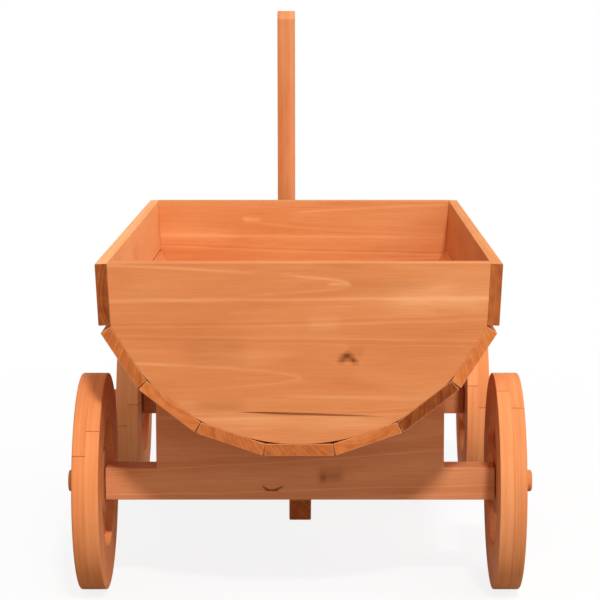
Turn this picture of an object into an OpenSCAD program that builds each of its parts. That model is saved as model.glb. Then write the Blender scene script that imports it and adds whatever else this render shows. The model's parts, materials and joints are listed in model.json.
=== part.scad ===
// Garden wagon planter: a half-barrel trough of boards on two axle beams, with four wheels and a handle.
// Millimetres. +Z is up, +Y points to the handle end, and the origin is on the ground under the middle.

/* [Trough] */
// Length of the trough over its end panels
box_l = 636; // [450:1:900]
// Thickness of an end panel
panel_t = 20; // [14:0.5:30]
// Distance of the flats of an end panel's lower edge from the centre of their arc
panel_r = 176.7; // [140:0.1:230]
// Share of the corners between those flats that is rounded off
corner_round = 0.4; // [0.1:0.05:1]
// The same for the two lowest corners
low_corner_round = 0.9; // [0.1:0.05:1]
// How far the rim lies below the centre of that arc
rim_drop = 18.5; // [5:0.5:28]
// Thickness of a stave
stave_t = 10.5; // [8:0.5:16]
// Number of staves
stave_count = 7; // [5:2:9]
// Angle that the staves cover together
stave_span = 133; // [115:1:145]
// Gap between the inner edges of two staves
stave_joint = 0.17; // [0.1:0.01:1]
// Angle by which the bevel of a stave's edges falls short of closing the joint
bevel_short = 5; // [0:0.5:6]
// How much is planed off the upper edge of the highest staves
top_trim = 2.5; // [0:0.1:5]
// Thickness of a side board
side_t = 10.5; // [8:0.5:16]
// Angle at which a side board leans out
side_lean = 2.9; // [0:0.1:8]
// How far a side board's foot stands inside the edge of the highest stave
side_inset = 0.05; // [0:0.05:4]
// How far that foot stands above the edge
side_lift = 1.3; // [0.1:0.1:3]

/* [Undercarriage] */
// Height and thickness of an axle beam
beam_s = 30; // [26:0.5:45]
// How far a beam's end stands outside the rim
beam_reach = 3.3; // [2:0.1:20]
// Width of a saddle
saddle_w = 264.6; // [180:0.1:300]
// Height of a saddle at its middle
saddle_h = 32.6; // [20:0.1:60]
// Distance of the rear axle from the rear end of the trough
rear_overhang = 119; // [60:1:180]
// Distance of the front axle from the front end of the trough
front_overhang = 81; // [50:1:180]
// Width of the perch
perch_w = 20; // [16:0.5:34]
// Height of the perch
perch_h = 19; // [16:0.5:34]
// How far the perch reaches past the front end of the trough
perch_reach = 64; // [55:1:120]

/* [Wheels] */
// Diameter of a wheel
wheel_d = 200; // [160:1:260]
// Thickness of one of the two plies of a rim
ply_t = 12; // [9:0.5:18]
// Depth of a rim from its tread to its inner edge
rim_depth = 40; // [28:0.5:46]
// Angle between the seams of the two plies
ply_stagger = 13.5; // [5:0.5:25]
// Gap at a seam between two rim segments
seam_gap = 0.4; // [0.2:0.05:1]
// Diameter of a hub
hub_d = 62; // [50:1:70]
// Thickness of a hub
hub_t = 18.8; // [15:0.1:24]
// Width of a spoke across the wheel's face
spoke_w = 16; // [10:0.5:20]
// Thickness of a spoke
spoke_t = 12; // [8:0.5:14]
// How deep a spoke is let into the hub
hub_socket = 8; // [4:0.5:10]
// How deep a spoke is let into the rim
rim_socket = 10; // [4:0.5:14]
// Diameter of an axle peg
peg_d = 20; // [14:0.5:24]
// How far a peg stands out of its beam
peg_out = 35; // [33:0.5:60]
// How deep a peg is set into its beam
peg_deep = 60; // [30:1:100]
// Diameter of a linchpin
linchpin_d = 5; // [3:0.5:7]
// Length of a linchpin
linchpin_l = 34; // [28:1:60]
// Diameter of an axle washer
washer_d = 32; // [28:1:40]
// Thickness of an axle washer
washer_t = 2; // [1:0.1:3]

/* [Handle] */
// Width of the handle bar
handle_w = 20; // [14:0.5:30]
// Depth of the handle bar
handle_d = 30; // [20:0.5:36]
// Length of the handle above its pivot
handle_l = 456; // [300:1:700]
// Chamfer on the two long top edges of the handle
handle_chamfer = 9; // [0.5:0.5:9]
// Distance of the pivot from the perch's end
pivot_back = 20; // [15:0.5:32]
// Diameter of the pivot bolt
bolt_d = 6; // [5:0.5:10]
// Diameter of the pivot bolt's round head
bolt_head_d = 15; // [12:0.5:20]
// Height of that head
bolt_head_h = 4; // [2:0.5:6]
// Diameter of a pivot washer
pivot_washer_d = 18; // [14:0.5:24]
// Thickness of a pivot washer
pivot_washer_t = 1.6; // [1:0.1:3]
// Width of the nut across its flats
nut_w = 10; // [9:0.5:17]
// Thickness of the nut
nut_t = 5; // [3:0.5:9]

/* [Screws] */
// Shank diameter of a board screw
screw_d = 3.5; // [2.5:0.1:5]
// Length of a board screw
screw_l = 32; // [24:1:40]
// Distance of a stave's screws from its long edges
stave_screw_inset = 12.5; // [8:0.5:20]
// Distance of a side board's screws from its long edges
side_screw_inset = 11.5; // [8:0.5:20]
// Shank diameter of a perch screw
perch_screw_d = 5; // [3:0.5:6]
// Length of a perch screw
perch_screw_l = 38; // [30:1:45]
// Distance between the two perch screws in a beam
perch_screw_pitch = 14; // [10:1:18]

/* [Fits] */
// Gap between a board and what it is fastened to
board_fit = 0.1; // [0.05:0.01:0.3]
// Clearance round a screw, pin or peg in its hole
hole_fit = 0.05; // [0.02:0.01:0.2]
// Clearance round a peg in its hub, and round the bolt in the handle
running_fit = 0.08; // [0.03:0.01:0.1]
// Gap beside a piece that turns
side_play = 0.3; // [0.2:0.05:1]
// Gap between a hub and the end of its beam
hub_play = 0.8; // [0.4:0.1:2]

/* [Hidden] */
$fn = 96;

// Heights, from the ground up
axle_z = wheel_d / 2;
beam_top = axle_z + beam_s / 2;
beam_bottom = axle_z - beam_s / 2;
stave_in_r = panel_r + board_fit;
stave_out_r = stave_in_r + stave_t;
saddle_r = stave_out_r + board_fit;
arc_z = beam_top + saddle_h + saddle_r;
rim_z = arc_z - rim_drop;
pivot_z = beam_bottom - perch_h / 2;

// Lengths, from the rear end to the handle end
total_l = box_l + perch_reach;
box_y0 = -total_l / 2;
box_y1 = box_y0 + box_l;
rear_axle_y = box_y0 + rear_overhang;
front_axle_y = box_y1 - front_overhang;
perch_y0 = rear_axle_y - beam_s / 2;
perch_y1 = total_l / 2;
pivot_y = perch_y1 - pivot_back;
rear_screw_y = box_y0 + panel_t / 2;
front_screw_y = box_y1 - panel_t / 2;

// Staves round the arc
stave_pitch = stave_span / stave_count;
stave_w = 2 * stave_in_r * tan(stave_pitch / 2) - stave_joint;
stave_half = (stave_count - 1) / 2;
stave_bevel = stave_pitch / 2 - bevel_short;
function stave_angle(i) = i * stave_pitch;
// Half the width of stave i towards one side (-1 left, 1 right), at its inner and its outer face
function stave_reach(i, side) = i * side == stave_half
    ? [stave_w / 2 - top_trim, stave_w / 2 - top_trim]
    : [stave_w / 2, stave_w / 2 + stave_t * tan(stave_bevel)];
// The flats that face the staves at distance r from the centre of the arc, closed above it
function stave_bed(r) = let (corner_r = r / cos(stave_pitch / 2)) [
    [-corner_r, 0],
    for (i = [-stave_half - 0.5:stave_half + 0.5]) corner_r * [sin(stave_angle(i)), -cos(stave_angle(i))],
    [corner_r, 0]
];

// Side boards, which stand over the inner edge of the highest staves
top_angle = stave_angle(stave_half);
top_reach = stave_reach(stave_half, 1)[0];
stave_edge_x = stave_in_r * sin(top_angle) + top_reach * cos(top_angle);
stave_edge_z = arc_z - stave_in_r * cos(top_angle) + top_reach * sin(top_angle);
side_x = stave_edge_x - side_inset;
side_z = stave_edge_z + side_inset * tan(side_lean) + side_lift;
side_h = (rim_z - side_z) / cos(side_lean);
rim_x = side_x + side_h * sin(side_lean) + side_t * cos(side_lean);
function side_inner_x(z) = side_x + (z - side_z) * tan(side_lean) - board_fit / cos(side_lean);

// Axles and wheels, from the middle outwards
beam_x = rim_x + beam_reach;
hub_x = beam_x + hub_play;
wheel_x = hub_x + hub_t / 2;
washer_x = hub_x + hub_t + side_play;
linchpin_x = washer_x + washer_t + side_play + linchpin_d / 2;
peg_x = beam_x + peg_out;
wheel_r = wheel_d / 2;
rim_r = wheel_r - rim_depth;
spoke_count = 6;
segment_count = 2;
segment_angle = 360 / segment_count;

// Handle, left of the perch, and its bolt, which ends past the nut
handle_x1 = -perch_w / 2 - side_play;
handle_x0 = handle_x1 - handle_w;
head_washer_x = handle_x0 - side_play - pivot_washer_t;
nut_washer_x = perch_w / 2;
nut_x = nut_washer_x + pivot_washer_t;
bolt_tail = 2;

// Radius of the blunt point of a screw
screw_point_r = 0.4;
// How far a cutting shape runs past what it cuts
over = 1;

// Colours of the stained wood and the metal
panel_tint = [0.87, 0.53, 0.31];
board_tint = [0.84, 0.49, 0.27];
stave_tint = [0.80, 0.44, 0.20];
beam_tint = [0.70, 0.40, 0.25];
perch_tint = [0.62, 0.33, 0.20];
wheel_tint = [0.86, 0.53, 0.31];
handle_tint = [0.83, 0.50, 0.30];
steel_tint = [0.72, 0.73, 0.75];

// The four wheels: name, side (-1 left, 1 right), place of the axle, and angle of the inner ply's first seam
WHEELS = [
    ["rear_left", -1, rear_axle_y, 38],
    ["rear_right", 1, rear_axle_y, 66],
    ["front_left", -1, front_axle_y, 6],
    ["front_right", 1, front_axle_y, 17.5]
];
function wheel_name(w) = w[0];
function wheel_side(w) = w[1];
function wheel_y(w) = w[2];
function wheel_seam(w) = w[3];
WHEEL_PIECES = [
    "inner_felloes", "outer_felloes", "spokes", "hub", "axle_peg", "axle_washer", "linchpin"
];
// The staves: name and place, counted from the bottom to the right
STAVES = [
    for (i = [-stave_half:stave_half]) [
        i == 0 ? "stave_bottom" : str("stave_", i < 0 ? "left_" : "right_", abs(i)),
        i
    ]
];
function stave_name(s) = s[0];
function stave_place(s) = s[1];
BOX_NODES = [
    "rear_end_panel", "front_end_panel", "left_side_board", "right_side_board", "rear_screws", "front_screws"
];
BASE_NODES = ["rear_bolster", "front_bolster", "saddle_screws", "perch", "perch_screws"];
HANDLE_NODES = ["handle", "pivot_bolt", "pivot_washers", "pivot_nut"];

// An outline in X and Z, drawn out along Y from y0 to y1
module along_y(y0, y1) {
    translate([0, y1, 0]) rotate([90, 0, 0]) linear_extrude(y1 - y0) children();
}

// An outline in Y and Z, drawn out along X from x0 to x1
module along_x(x0, x1) {
    translate([x0, 0, 0]) rotate([90, 0, 90]) linear_extrude(x1 - x0) children();
}

// A round bar along X from x0 to x1
module rod_x(x0, x1, r) {
    translate([x0, 0, 0]) rotate([0, 90, 0]) cylinder(h = x1 - x0, r = r);
}

// Whatever is drawn for the bottom of the arc, turned to angle a on it
module on_arc(a) {
    translate([0, 0, arc_z]) rotate([0, -a, 0]) children();
}

// Whatever is drawn on the inner face of the right side board, from its foot up; side -1 is the left board
module on_side(side) {
    mirror([side < 0 ? 1 : 0, 0, 0]) translate([side_x, 0, side_z]) rotate([0, side_lean, 0]) children();
}

// A countersunk screw of shank diameter d that points up, with the face of its head at the origin.
// The head is twice as wide as the shank, and grow widens the screw into its hole.
module screw(d, l, grow = 0) {
    r = d / 2;
    tip_l = d;
    cylinder(h = r, r1 = d + grow, r2 = r + grow);
    cylinder(h = l - tip_l, r = r + grow);
    translate([0, 0, l - tip_l]) cylinder(h = tip_l, r1 = r + grow, r2 = screw_point_r + grow);
}

// The two screws in the end of each stave, at y
module stave_screws(y, grow = 0) {
    for (s = STAVES) on_arc(stave_angle(stave_place(s)))
        for (x = [-1, 1] * (stave_w / 2 - stave_screw_inset))
            translate([x, y, -stave_out_r]) screw(screw_d, screw_l, grow);
}

// The two screws in the end of each side board, at y
module side_screws(y, grow = 0) {
    for (side = [-1, 1]) on_side(side)
        for (z = [side_screw_inset, side_h - side_screw_inset])
            translate([side_t, y, z]) rotate([0, -90, 0])
                screw(screw_d, screw_l, grow);
}

// The screws that go down through the three lowest staves into the saddle at y
module screws_to_saddle(y, grow = 0) {
    for (i = [-1:1]) on_arc(stave_angle(i))
        translate([0, y, -stave_in_r]) rotate([180, 0, 0]) screw(screw_d, screw_l, grow);
}

// The two screws that go up through the perch into the beam at y
module screws_to_beam(y, grow = 0) {
    for (dy = [-1, 1] * perch_screw_pitch / 2)
        translate([0, y + dy, beam_bottom - perch_h])
            screw(perch_screw_d, perch_screw_l, grow);
}

// A disc over the thickness of the end panel from y0, which rounds off that share of its corners
module rounding_disc(y0, share) {
    corner_h = panel_r / cos(stave_pitch / 2) - panel_r;
    translate([0, y0 - over, arc_z]) rotate([-90, 0, 0])
        cylinder(h = panel_t + 2 * over, r = panel_r + (1 - share) * corner_h, $fn = 180);
}

// The sectors of that disc to the left and right, between two angles and past its edge
module rounding_sectors(y0, a0, a1) {
    past_panel = 2 * panel_r;
    for (side = [0, 1]) mirror([side, 0, 0]) along_y(y0 - over, y0 + panel_t + over)
        translate([0, arc_z]) polygon([[0, 0], for (a = [a0, a1]) past_panel * [sin(a), -cos(a)]]);
}

// An end panel from y0, with its screws at its middle. The corners between its flats are rounded,
// apart from the two shoulders, where its highest flats run on to the side boards.
module end_panel(y0) {
    y1 = y0 + panel_t;
    outline_z = arc_z - panel_r;
    color(panel_tint) difference() {
        intersection() {
            along_y(y0, y1) translate([0, arc_z]) polygon(stave_bed(panel_r));
            union() {
                rounding_disc(y0, low_corner_round);
                intersection() {
                    rounding_disc(y0, corner_round);
                    rounding_sectors(y0, stave_pitch, top_angle);
                }
                rounding_sectors(y0, top_angle, top_angle + stave_pitch);
            }
            along_y(y0 - over, y1 + over) polygon([
                [-side_inner_x(outline_z), outline_z - over],
                [side_inner_x(outline_z), outline_z - over],
                [side_inner_x(rim_z), rim_z],
                [-side_inner_x(rim_z), rim_z]
            ]);
        }
        stave_screws(y0 + panel_t / 2, hole_fit);
        side_screws(y0 + panel_t / 2, hole_fit);
    }
}

// A side board
module side_board(side) {
    color(board_tint) difference() {
        on_side(side) translate([0, box_y0, 0]) cube([side_t, box_l, side_h]);
        for (y = [rear_screw_y, front_screw_y]) side_screws(y, hole_fit);
    }
}

// Stave number i, counted from the bottom one to the right, with bevelled edges
module stave(i) {
    left = stave_reach(i, -1);
    right = stave_reach(i, 1);
    color(stave_tint) difference() {
        on_arc(stave_angle(i)) along_y(box_y0, box_y1) polygon([
            [-left[0], -stave_in_r],
            [-left[1], -stave_out_r],
            [right[1], -stave_out_r],
            [right[0], -stave_in_r]
        ]);
        for (y = [rear_screw_y, front_screw_y]) stave_screws(y, hole_fit);
        for (y = [rear_axle_y, front_axle_y]) screws_to_saddle(y, hole_fit);
    }
}

// All the screws at one end of the trough
module end_screws(y) {
    color(steel_tint) {
        stave_screws(y);
        side_screws(y);
    }
}

// An axle beam and its saddle, cut from one board
module bolster(y) {
    color(beam_tint) difference() {
        union() {
            translate([-beam_x, y - beam_s / 2, beam_bottom]) cube([2 * beam_x, beam_s, beam_s]);
            translate([-saddle_w / 2, y - beam_s / 2, beam_bottom])
                cube([saddle_w, beam_s, rim_z - beam_bottom]);
        }
        along_y(y - beam_s, y + beam_s) translate([0, arc_z]) polygon(stave_bed(saddle_r));
        for (side = [-1, 1]) translate([0, y, axle_z])
            rod_x(side * beam_x - peg_deep, side * beam_x + peg_deep, peg_d / 2 + hole_fit);
        screws_to_saddle(y, hole_fit);
        screws_to_beam(y, hole_fit);
    }
}

// The bar under both beams that carries the handle
module perch() {
    color(perch_tint) difference() {
        translate([-perch_w / 2, perch_y0, beam_bottom - perch_h])
            cube([perch_w, perch_y1 - perch_y0, perch_h]);
        for (y = [rear_axle_y, front_axle_y]) screws_to_beam(y, hole_fit);
        translate([0, pivot_y, pivot_z]) rod_x(-perch_w, perch_w, bolt_d / 2 + hole_fit);
    }
}

// The frame of an axle end: the middle of its beam at the origin, with X pointing to the wheel
module at_axle(w) {
    translate([0, wheel_y(w), axle_z]) mirror([wheel_side(w) < 0 ? 1 : 0, 0, 0]) children();
}

// A wheel's frame: its centre at the origin, with X pointing away from the trough
module at_wheel(w) {
    at_axle(w) translate([wheel_x, 0, 0]) children();
}

// A spoke along +Y, let into the hub and the rim; grow widens it into its socket
module spoke(grow = 0) {
    y0 = hub_d / 2 - hub_socket - grow;
    y1 = rim_r + rim_socket + grow;
    translate([-spoke_t / 2 - grow, y0, -spoke_w / 2 - grow])
        cube([spoke_t + 2 * grow, y1 - y0, spoke_w + 2 * grow]);
}

// The spokes of a wheel; the first two stand as far to both sides of the plies' first seams
module spokes(w, grow = 0) {
    first = wheel_seam(w) - ply_stagger / 2 + 180 / spoke_count;
    for (i = [0:spoke_count - 1]) rotate([180 - first - i * 360 / spoke_count, 0, 0]) spoke(grow);
}

// One ply of a rim from x0, in half rings, with a seam at the given angle above the rear horizontal
module felloes(w, x0, seam) {
    color(wheel_tint) at_wheel(w) difference() {
        translate([x0, 0, 0]) rotate([0, 90, 0]) difference() {
            cylinder(h = ply_t, r = wheel_r, $fn = 180);
            translate([0, 0, -over]) cylinder(h = ply_t + 2 * over, r = rim_r);
        }
        for (i = [0:segment_count - 1]) rotate([180 - seam - i * segment_angle, 0, 0])
            translate([-ply_t - over, 0, -seam_gap / 2])
                cube([2 * (ply_t + over), wheel_r + over, seam_gap]);
        spokes(w, board_fit);
    }
}

// A wheel's spokes
module wheel_spokes(w) {
    color(wheel_tint) at_wheel(w) spokes(w);
}

// A wheel's hub, with a socket for each spoke
module hub(w) {
    color(wheel_tint) at_wheel(w) difference() {
        rod_x(-hub_t / 2, hub_t / 2, hub_d / 2);
        rod_x(-hub_t, hub_t, peg_d / 2 + running_fit);
        spokes(w, board_fit);
    }
}

// The peg that a wheel turns on, with the hole of its linchpin
module axle_peg(w) {
    x0 = beam_x - peg_deep;
    color(wheel_tint) at_axle(w) difference() {
        rod_x(x0, peg_x, peg_d / 2);
        translate([linchpin_x, 0, -peg_d]) cylinder(h = 2 * peg_d, r = linchpin_d / 2 + hole_fit);
    }
}

// The washer between a hub and its linchpin
module axle_washer(w) {
    color(steel_tint) at_axle(w) difference() {
        rod_x(washer_x, washer_x + washer_t, washer_d / 2);
        rod_x(washer_x - over, washer_x + washer_t + over, peg_d / 2 + hole_fit);
    }
}

// The pin across a peg that keeps its wheel on
module linchpin(w) {
    color(steel_tint) at_axle(w) translate([linchpin_x, 0, -linchpin_l / 2])
        cylinder(h = linchpin_l, r = linchpin_d / 2);
}

// One piece of a wheel, by name
module wheel_piece(w, piece) {
    if (piece == "inner_felloes") felloes(w, -ply_t, wheel_seam(w));
    if (piece == "outer_felloes") felloes(w, 0, wheel_seam(w) - ply_stagger);
    if (piece == "spokes") wheel_spokes(w);
    if (piece == "hub") hub(w);
    if (piece == "axle_peg") axle_peg(w);
    if (piece == "axle_washer") axle_washer(w);
    if (piece == "linchpin") linchpin(w);
}

// The pull handle, upright, with its foot rounded about the pivot
module handle() {
    top = handle_l;
    c = handle_chamfer;
    d = handle_d / 2;
    color(handle_tint) translate([0, pivot_y, pivot_z]) difference() {
        union() {
            along_x(handle_x0, handle_x1) polygon([
                [-d, 0], [d, 0], [d, top - c], [d - c, top], [c - d, top], [-d, top - c]
            ]);
            rod_x(handle_x0, handle_x1, d);
        }
        rod_x(handle_x0 - over, handle_x1 + over, bolt_d / 2 + running_fit);
    }
}

// The round-headed bolt that the handle turns on
module pivot_bolt() {
    dome_r = (bolt_head_d * bolt_head_d / 4 + bolt_head_h * bolt_head_h) / (2 * bolt_head_h);
    color(steel_tint) translate([0, pivot_y, pivot_z]) union() {
        rod_x(head_washer_x - bolt_head_h / 2, nut_x + nut_t + bolt_tail, bolt_d / 2);
        translate([head_washer_x, 0, 0]) intersection() {
            translate([dome_r - bolt_head_h, 0, 0]) sphere(r = dome_r);
            rod_x(-2 * bolt_head_h, 0, bolt_head_d);
        }
    }
}

// The washers under the bolt's head and its nut
module pivot_washers() {
    color(steel_tint) translate([0, pivot_y, pivot_z]) for (x = [head_washer_x, nut_washer_x]) difference() {
        rod_x(x, x + pivot_washer_t, pivot_washer_d / 2);
        rod_x(x - over, x + pivot_washer_t + over, bolt_d / 2 + hole_fit);
    }
}

// The nut on the pivot bolt
module pivot_nut() {
    color(steel_tint) translate([nut_x, pivot_y, pivot_z]) difference() {
        rotate([0, 90, 0]) cylinder(h = nut_t, r = nut_w / sqrt(3), $fn = 6);
        rod_x(-over, nut_t + over, bolt_d / 2 + hole_fit);
    }
}

end_panel(box_y0);  // rear_end_panel
end_panel(box_y1 - panel_t);  // front_end_panel
side_board(-1);  // left_side_board
side_board(1);  // right_side_board
end_screws(rear_screw_y);  // rear_screws
end_screws(front_screw_y);  // front_screws
for (s = STAVES) stave(stave_place(s));
bolster(rear_axle_y);  // rear_bolster
bolster(front_axle_y);  // front_bolster
color(steel_tint) for (y = [rear_axle_y, front_axle_y]) screws_to_saddle(y);  // saddle_screws
perch();
color(steel_tint) for (y = [rear_axle_y, front_axle_y]) screws_to_beam(y);  // perch_screws
for (w = WHEELS) for (piece = WHEEL_PIECES)
    wheel_piece(w, piece);
handle();
pivot_bolt();
pivot_washers();
pivot_nut();
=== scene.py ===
"""The looks of a garden wagon planter: stained fir boards, wooden wheels, a pull handle and zinc fasteners.

Metres. +Z is up, +Y points to the handle end, and the origin is on the ground under the middle of the wagon.
"""

import json
import logging
import math
from dataclasses import dataclass, field
from enum import Enum
from typing import Optional, Sequence, Union

import bmesh
import bpy
from mathutils import Matrix, Vector

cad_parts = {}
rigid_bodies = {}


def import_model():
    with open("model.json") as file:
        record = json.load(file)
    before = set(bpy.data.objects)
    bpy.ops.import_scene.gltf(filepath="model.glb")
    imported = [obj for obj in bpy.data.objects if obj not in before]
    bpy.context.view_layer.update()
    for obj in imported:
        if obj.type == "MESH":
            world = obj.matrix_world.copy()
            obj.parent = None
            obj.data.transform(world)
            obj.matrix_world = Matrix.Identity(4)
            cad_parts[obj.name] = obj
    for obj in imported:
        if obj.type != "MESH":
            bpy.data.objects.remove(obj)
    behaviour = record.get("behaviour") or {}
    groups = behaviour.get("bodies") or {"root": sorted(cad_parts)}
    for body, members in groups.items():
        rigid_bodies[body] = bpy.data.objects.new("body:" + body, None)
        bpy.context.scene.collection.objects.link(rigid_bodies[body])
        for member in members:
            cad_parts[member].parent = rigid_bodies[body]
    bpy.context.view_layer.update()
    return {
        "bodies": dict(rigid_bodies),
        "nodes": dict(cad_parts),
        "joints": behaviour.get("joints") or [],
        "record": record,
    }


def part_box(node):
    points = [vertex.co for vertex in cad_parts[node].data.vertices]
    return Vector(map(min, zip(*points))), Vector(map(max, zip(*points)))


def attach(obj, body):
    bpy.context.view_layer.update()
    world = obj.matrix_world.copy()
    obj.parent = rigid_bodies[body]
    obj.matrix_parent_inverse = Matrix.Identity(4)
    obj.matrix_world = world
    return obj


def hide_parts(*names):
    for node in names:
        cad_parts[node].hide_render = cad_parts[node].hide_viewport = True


LOG = logging.getLogger("wagon")
MM = 0.001
AXIS_X = Vector((1.0, 0.0, 0.0))
AXIS_Y = Vector((0.0, 1.0, 0.0))
AXIS_Z = Vector((0.0, 0.0, 1.0))
# Steps round a turned piece and round a screw's hole, and the angle past which an edge counts as sharp
TURN_STEPS = 48
HOLE_STEPS = 24
SHARP = math.radians(34)
# Points on a bar's rounded edge and along a rim segment, and the angle of the segment's first and last step
EDGE_POINTS = 3
RIM_POINTS = 75
RIM_END = math.radians(0.1)
# The turn that lays a tree's Z axis along the axles
AXLE_TURN = (0.0, math.pi / 2, 0.0)
# How far a cutting shape runs past what it cuts, and the room round a peg or a bolt in its washer or nut
OVER = 1 * MM
METAL_ROOM = 0.05 * MM
# A place in the tree or on a board that no point of a piece comes near
FAR_AWAY = 9.0
# How far apart boards are read from the noise, in metres, and how much the tones of like boards differ
APART = 60.0
TONES = (0.975, 1.025)
# Numbers that scatter a sine so far that its fractions have no order
SCATTER_STEP = 12.9898
SCATTER_START = 4.1414
SCATTER_SIZE = 43758.5453

Colour = tuple[float, float, float, float]
Point = tuple[float, float]
Number = Union["Value", float]
WHITE: Colour = (1.0, 1.0, 1.0, 1.0)


def seen(red: int, green: int, blue: int) -> Colour:
    """Turns a colour as it is seen into what a shader takes.

    Args:
        red, green, blue: the sRGB channels, from 0 to 255.

    Returns:
        The linear colour, with full alpha.
    """
    shares = [channel / 255 for channel in (red, green, blue)]
    linear = [s / 12.92 if s <= 0.04045 else ((s + 0.055) / 1.055) ** 2.4 for s in shares]
    return (*linear, 1.0)


def vary(number: float, low: float, high: float) -> float:
    """A fixed value between low and high for each number, with no order to it."""
    share = math.sin(number * SCATTER_STEP + SCATTER_START) * SCATTER_SIZE
    return low + (high - low) * (share - math.floor(share))


class Value:
    """A number in a node tree, whose operators add Math nodes."""

    def __init__(self, tree: "Tree", socket: bpy.types.NodeSocket) -> None:
        """Keeps the socket and the tree that it is in."""
        self.tree = tree
        self.socket = socket

    def __add__(self, other: Number) -> "Value":
        """The sum of two numbers."""
        return self.tree.math("ADD", self, other)

    __radd__ = __add__

    def __sub__(self, other: Number) -> "Value":
        """This number less another."""
        return self.tree.math("SUBTRACT", self, other)

    def __rsub__(self, other: Number) -> "Value":
        """Another number less this one."""
        return self.tree.math("SUBTRACT", other, self)

    def __mul__(self, other: Number) -> "Value":
        """The product of two numbers."""
        return self.tree.math("MULTIPLY", self, other)

    __rmul__ = __mul__

    def __truediv__(self, other: Number) -> "Value":
        """This number divided by another."""
        return self.tree.math("DIVIDE", self, other)

    def __rtruediv__(self, other: Number) -> "Value":
        """Another number divided by this one."""
        return self.tree.math("DIVIDE", other, self)

    def __pow__(self, other: Number) -> "Value":
        """This number to a power."""
        return self.tree.math("POWER", self, other)

    def fraction(self) -> "Value":
        """What lies past the last whole number."""
        return self.tree.math("FRACT", self)

    def bell(self) -> "Value":
        """A bell curve: 1 at zero, and almost 0 from 2 on."""
        return self.tree.math("EXPONENT", self * self * -1.0)

    def within(self, low: float, high: float) -> "Value":
        """A smooth step from 0 at low to 1 at high."""
        made = self.tree.node(
            "ShaderNodeMapRange",
            {"interpolation_type": "SMOOTHSTEP"},
            {"Value": self, "From Min": low, "From Max": high},
        )
        return Value(self.tree, made.outputs["Result"])


class Tree:
    """A node tree that is filled from Python."""

    def __init__(self, tree: bpy.types.NodeTree) -> None:
        """Empties the tree and keeps it."""
        self.tree = tree
        self.tree.nodes.clear()

    def node(
        self,
        kind: str,
        settings: Optional[dict] = None,
        inputs: Optional[dict] = None,
    ) -> bpy.types.Node:
        """Adds a node.

        Args:
            kind: the node's type.
            settings: its properties, and for a ramp its stops, which are set first.
            inputs: the value or link of each socket, by name or number. A list links each of its members.

        Returns:
            The new node.
        """
        made = self.tree.nodes.new(kind)
        for name, value in (settings or {}).items():
            if name == "stops":
                self._set_stops(made.color_ramp, value)
            else:
                setattr(made, name, value)
        for name, value in (inputs or {}).items():
            for one in value if isinstance(value, list) else [value]:
                self._feed(made.inputs[name], one)
        return made

    def math(self, operation: str, *numbers: Number) -> Value:
        """Adds a Math node.

        Args:
            operation: what it works out.
            numbers: its inputs, in order.

        Returns:
            Its result.
        """
        made = self.node("ShaderNodeMath", {"operation": operation}, dict(enumerate(numbers)))
        return Value(self, made.outputs[0])

    def vector(self, x: Number = 0.0, y: Number = 0.0, z: Number = 0.0) -> bpy.types.NodeSocket:
        """A vector of three numbers."""
        return self.node("ShaderNodeCombineXYZ", None, {"X": x, "Y": y, "Z": z}).outputs["Vector"]

    def seen_straight(self) -> Value:
        """1 where the camera looks, also by way of metal or glass, and 0 for the light on the wagon."""
        path = self.node("ShaderNodeLightPath").outputs
        names = ("Is Camera Ray", "Is Glossy Ray", "Is Transmission Ray")
        camera, glossy, through = (Value(self, path[name]) for name in names)
        return self.math("MAXIMUM", self.math("MAXIMUM", camera, glossy), through)

    def _feed(self, socket: bpy.types.NodeSocket, value: object) -> None:
        """Links a socket to a number or a socket, or sets its own value."""
        source = value.socket if isinstance(value, Value) else value
        if isinstance(source, bpy.types.NodeSocket):
            self.tree.links.new(source, socket)
        else:
            socket.default_value = source

    @staticmethod
    def _set_stops(ramp: bpy.types.ColorRamp, stops: Sequence[tuple[float, Colour]]) -> None:
        """Gives a ramp its stops, which are pairs of a place and a colour."""
        while len(ramp.elements) < len(stops):
            ramp.elements.new(1.0)
        for element, (place, colour) in zip(ramp.elements, stops):
            element.position = place
            element.color = colour


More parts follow.
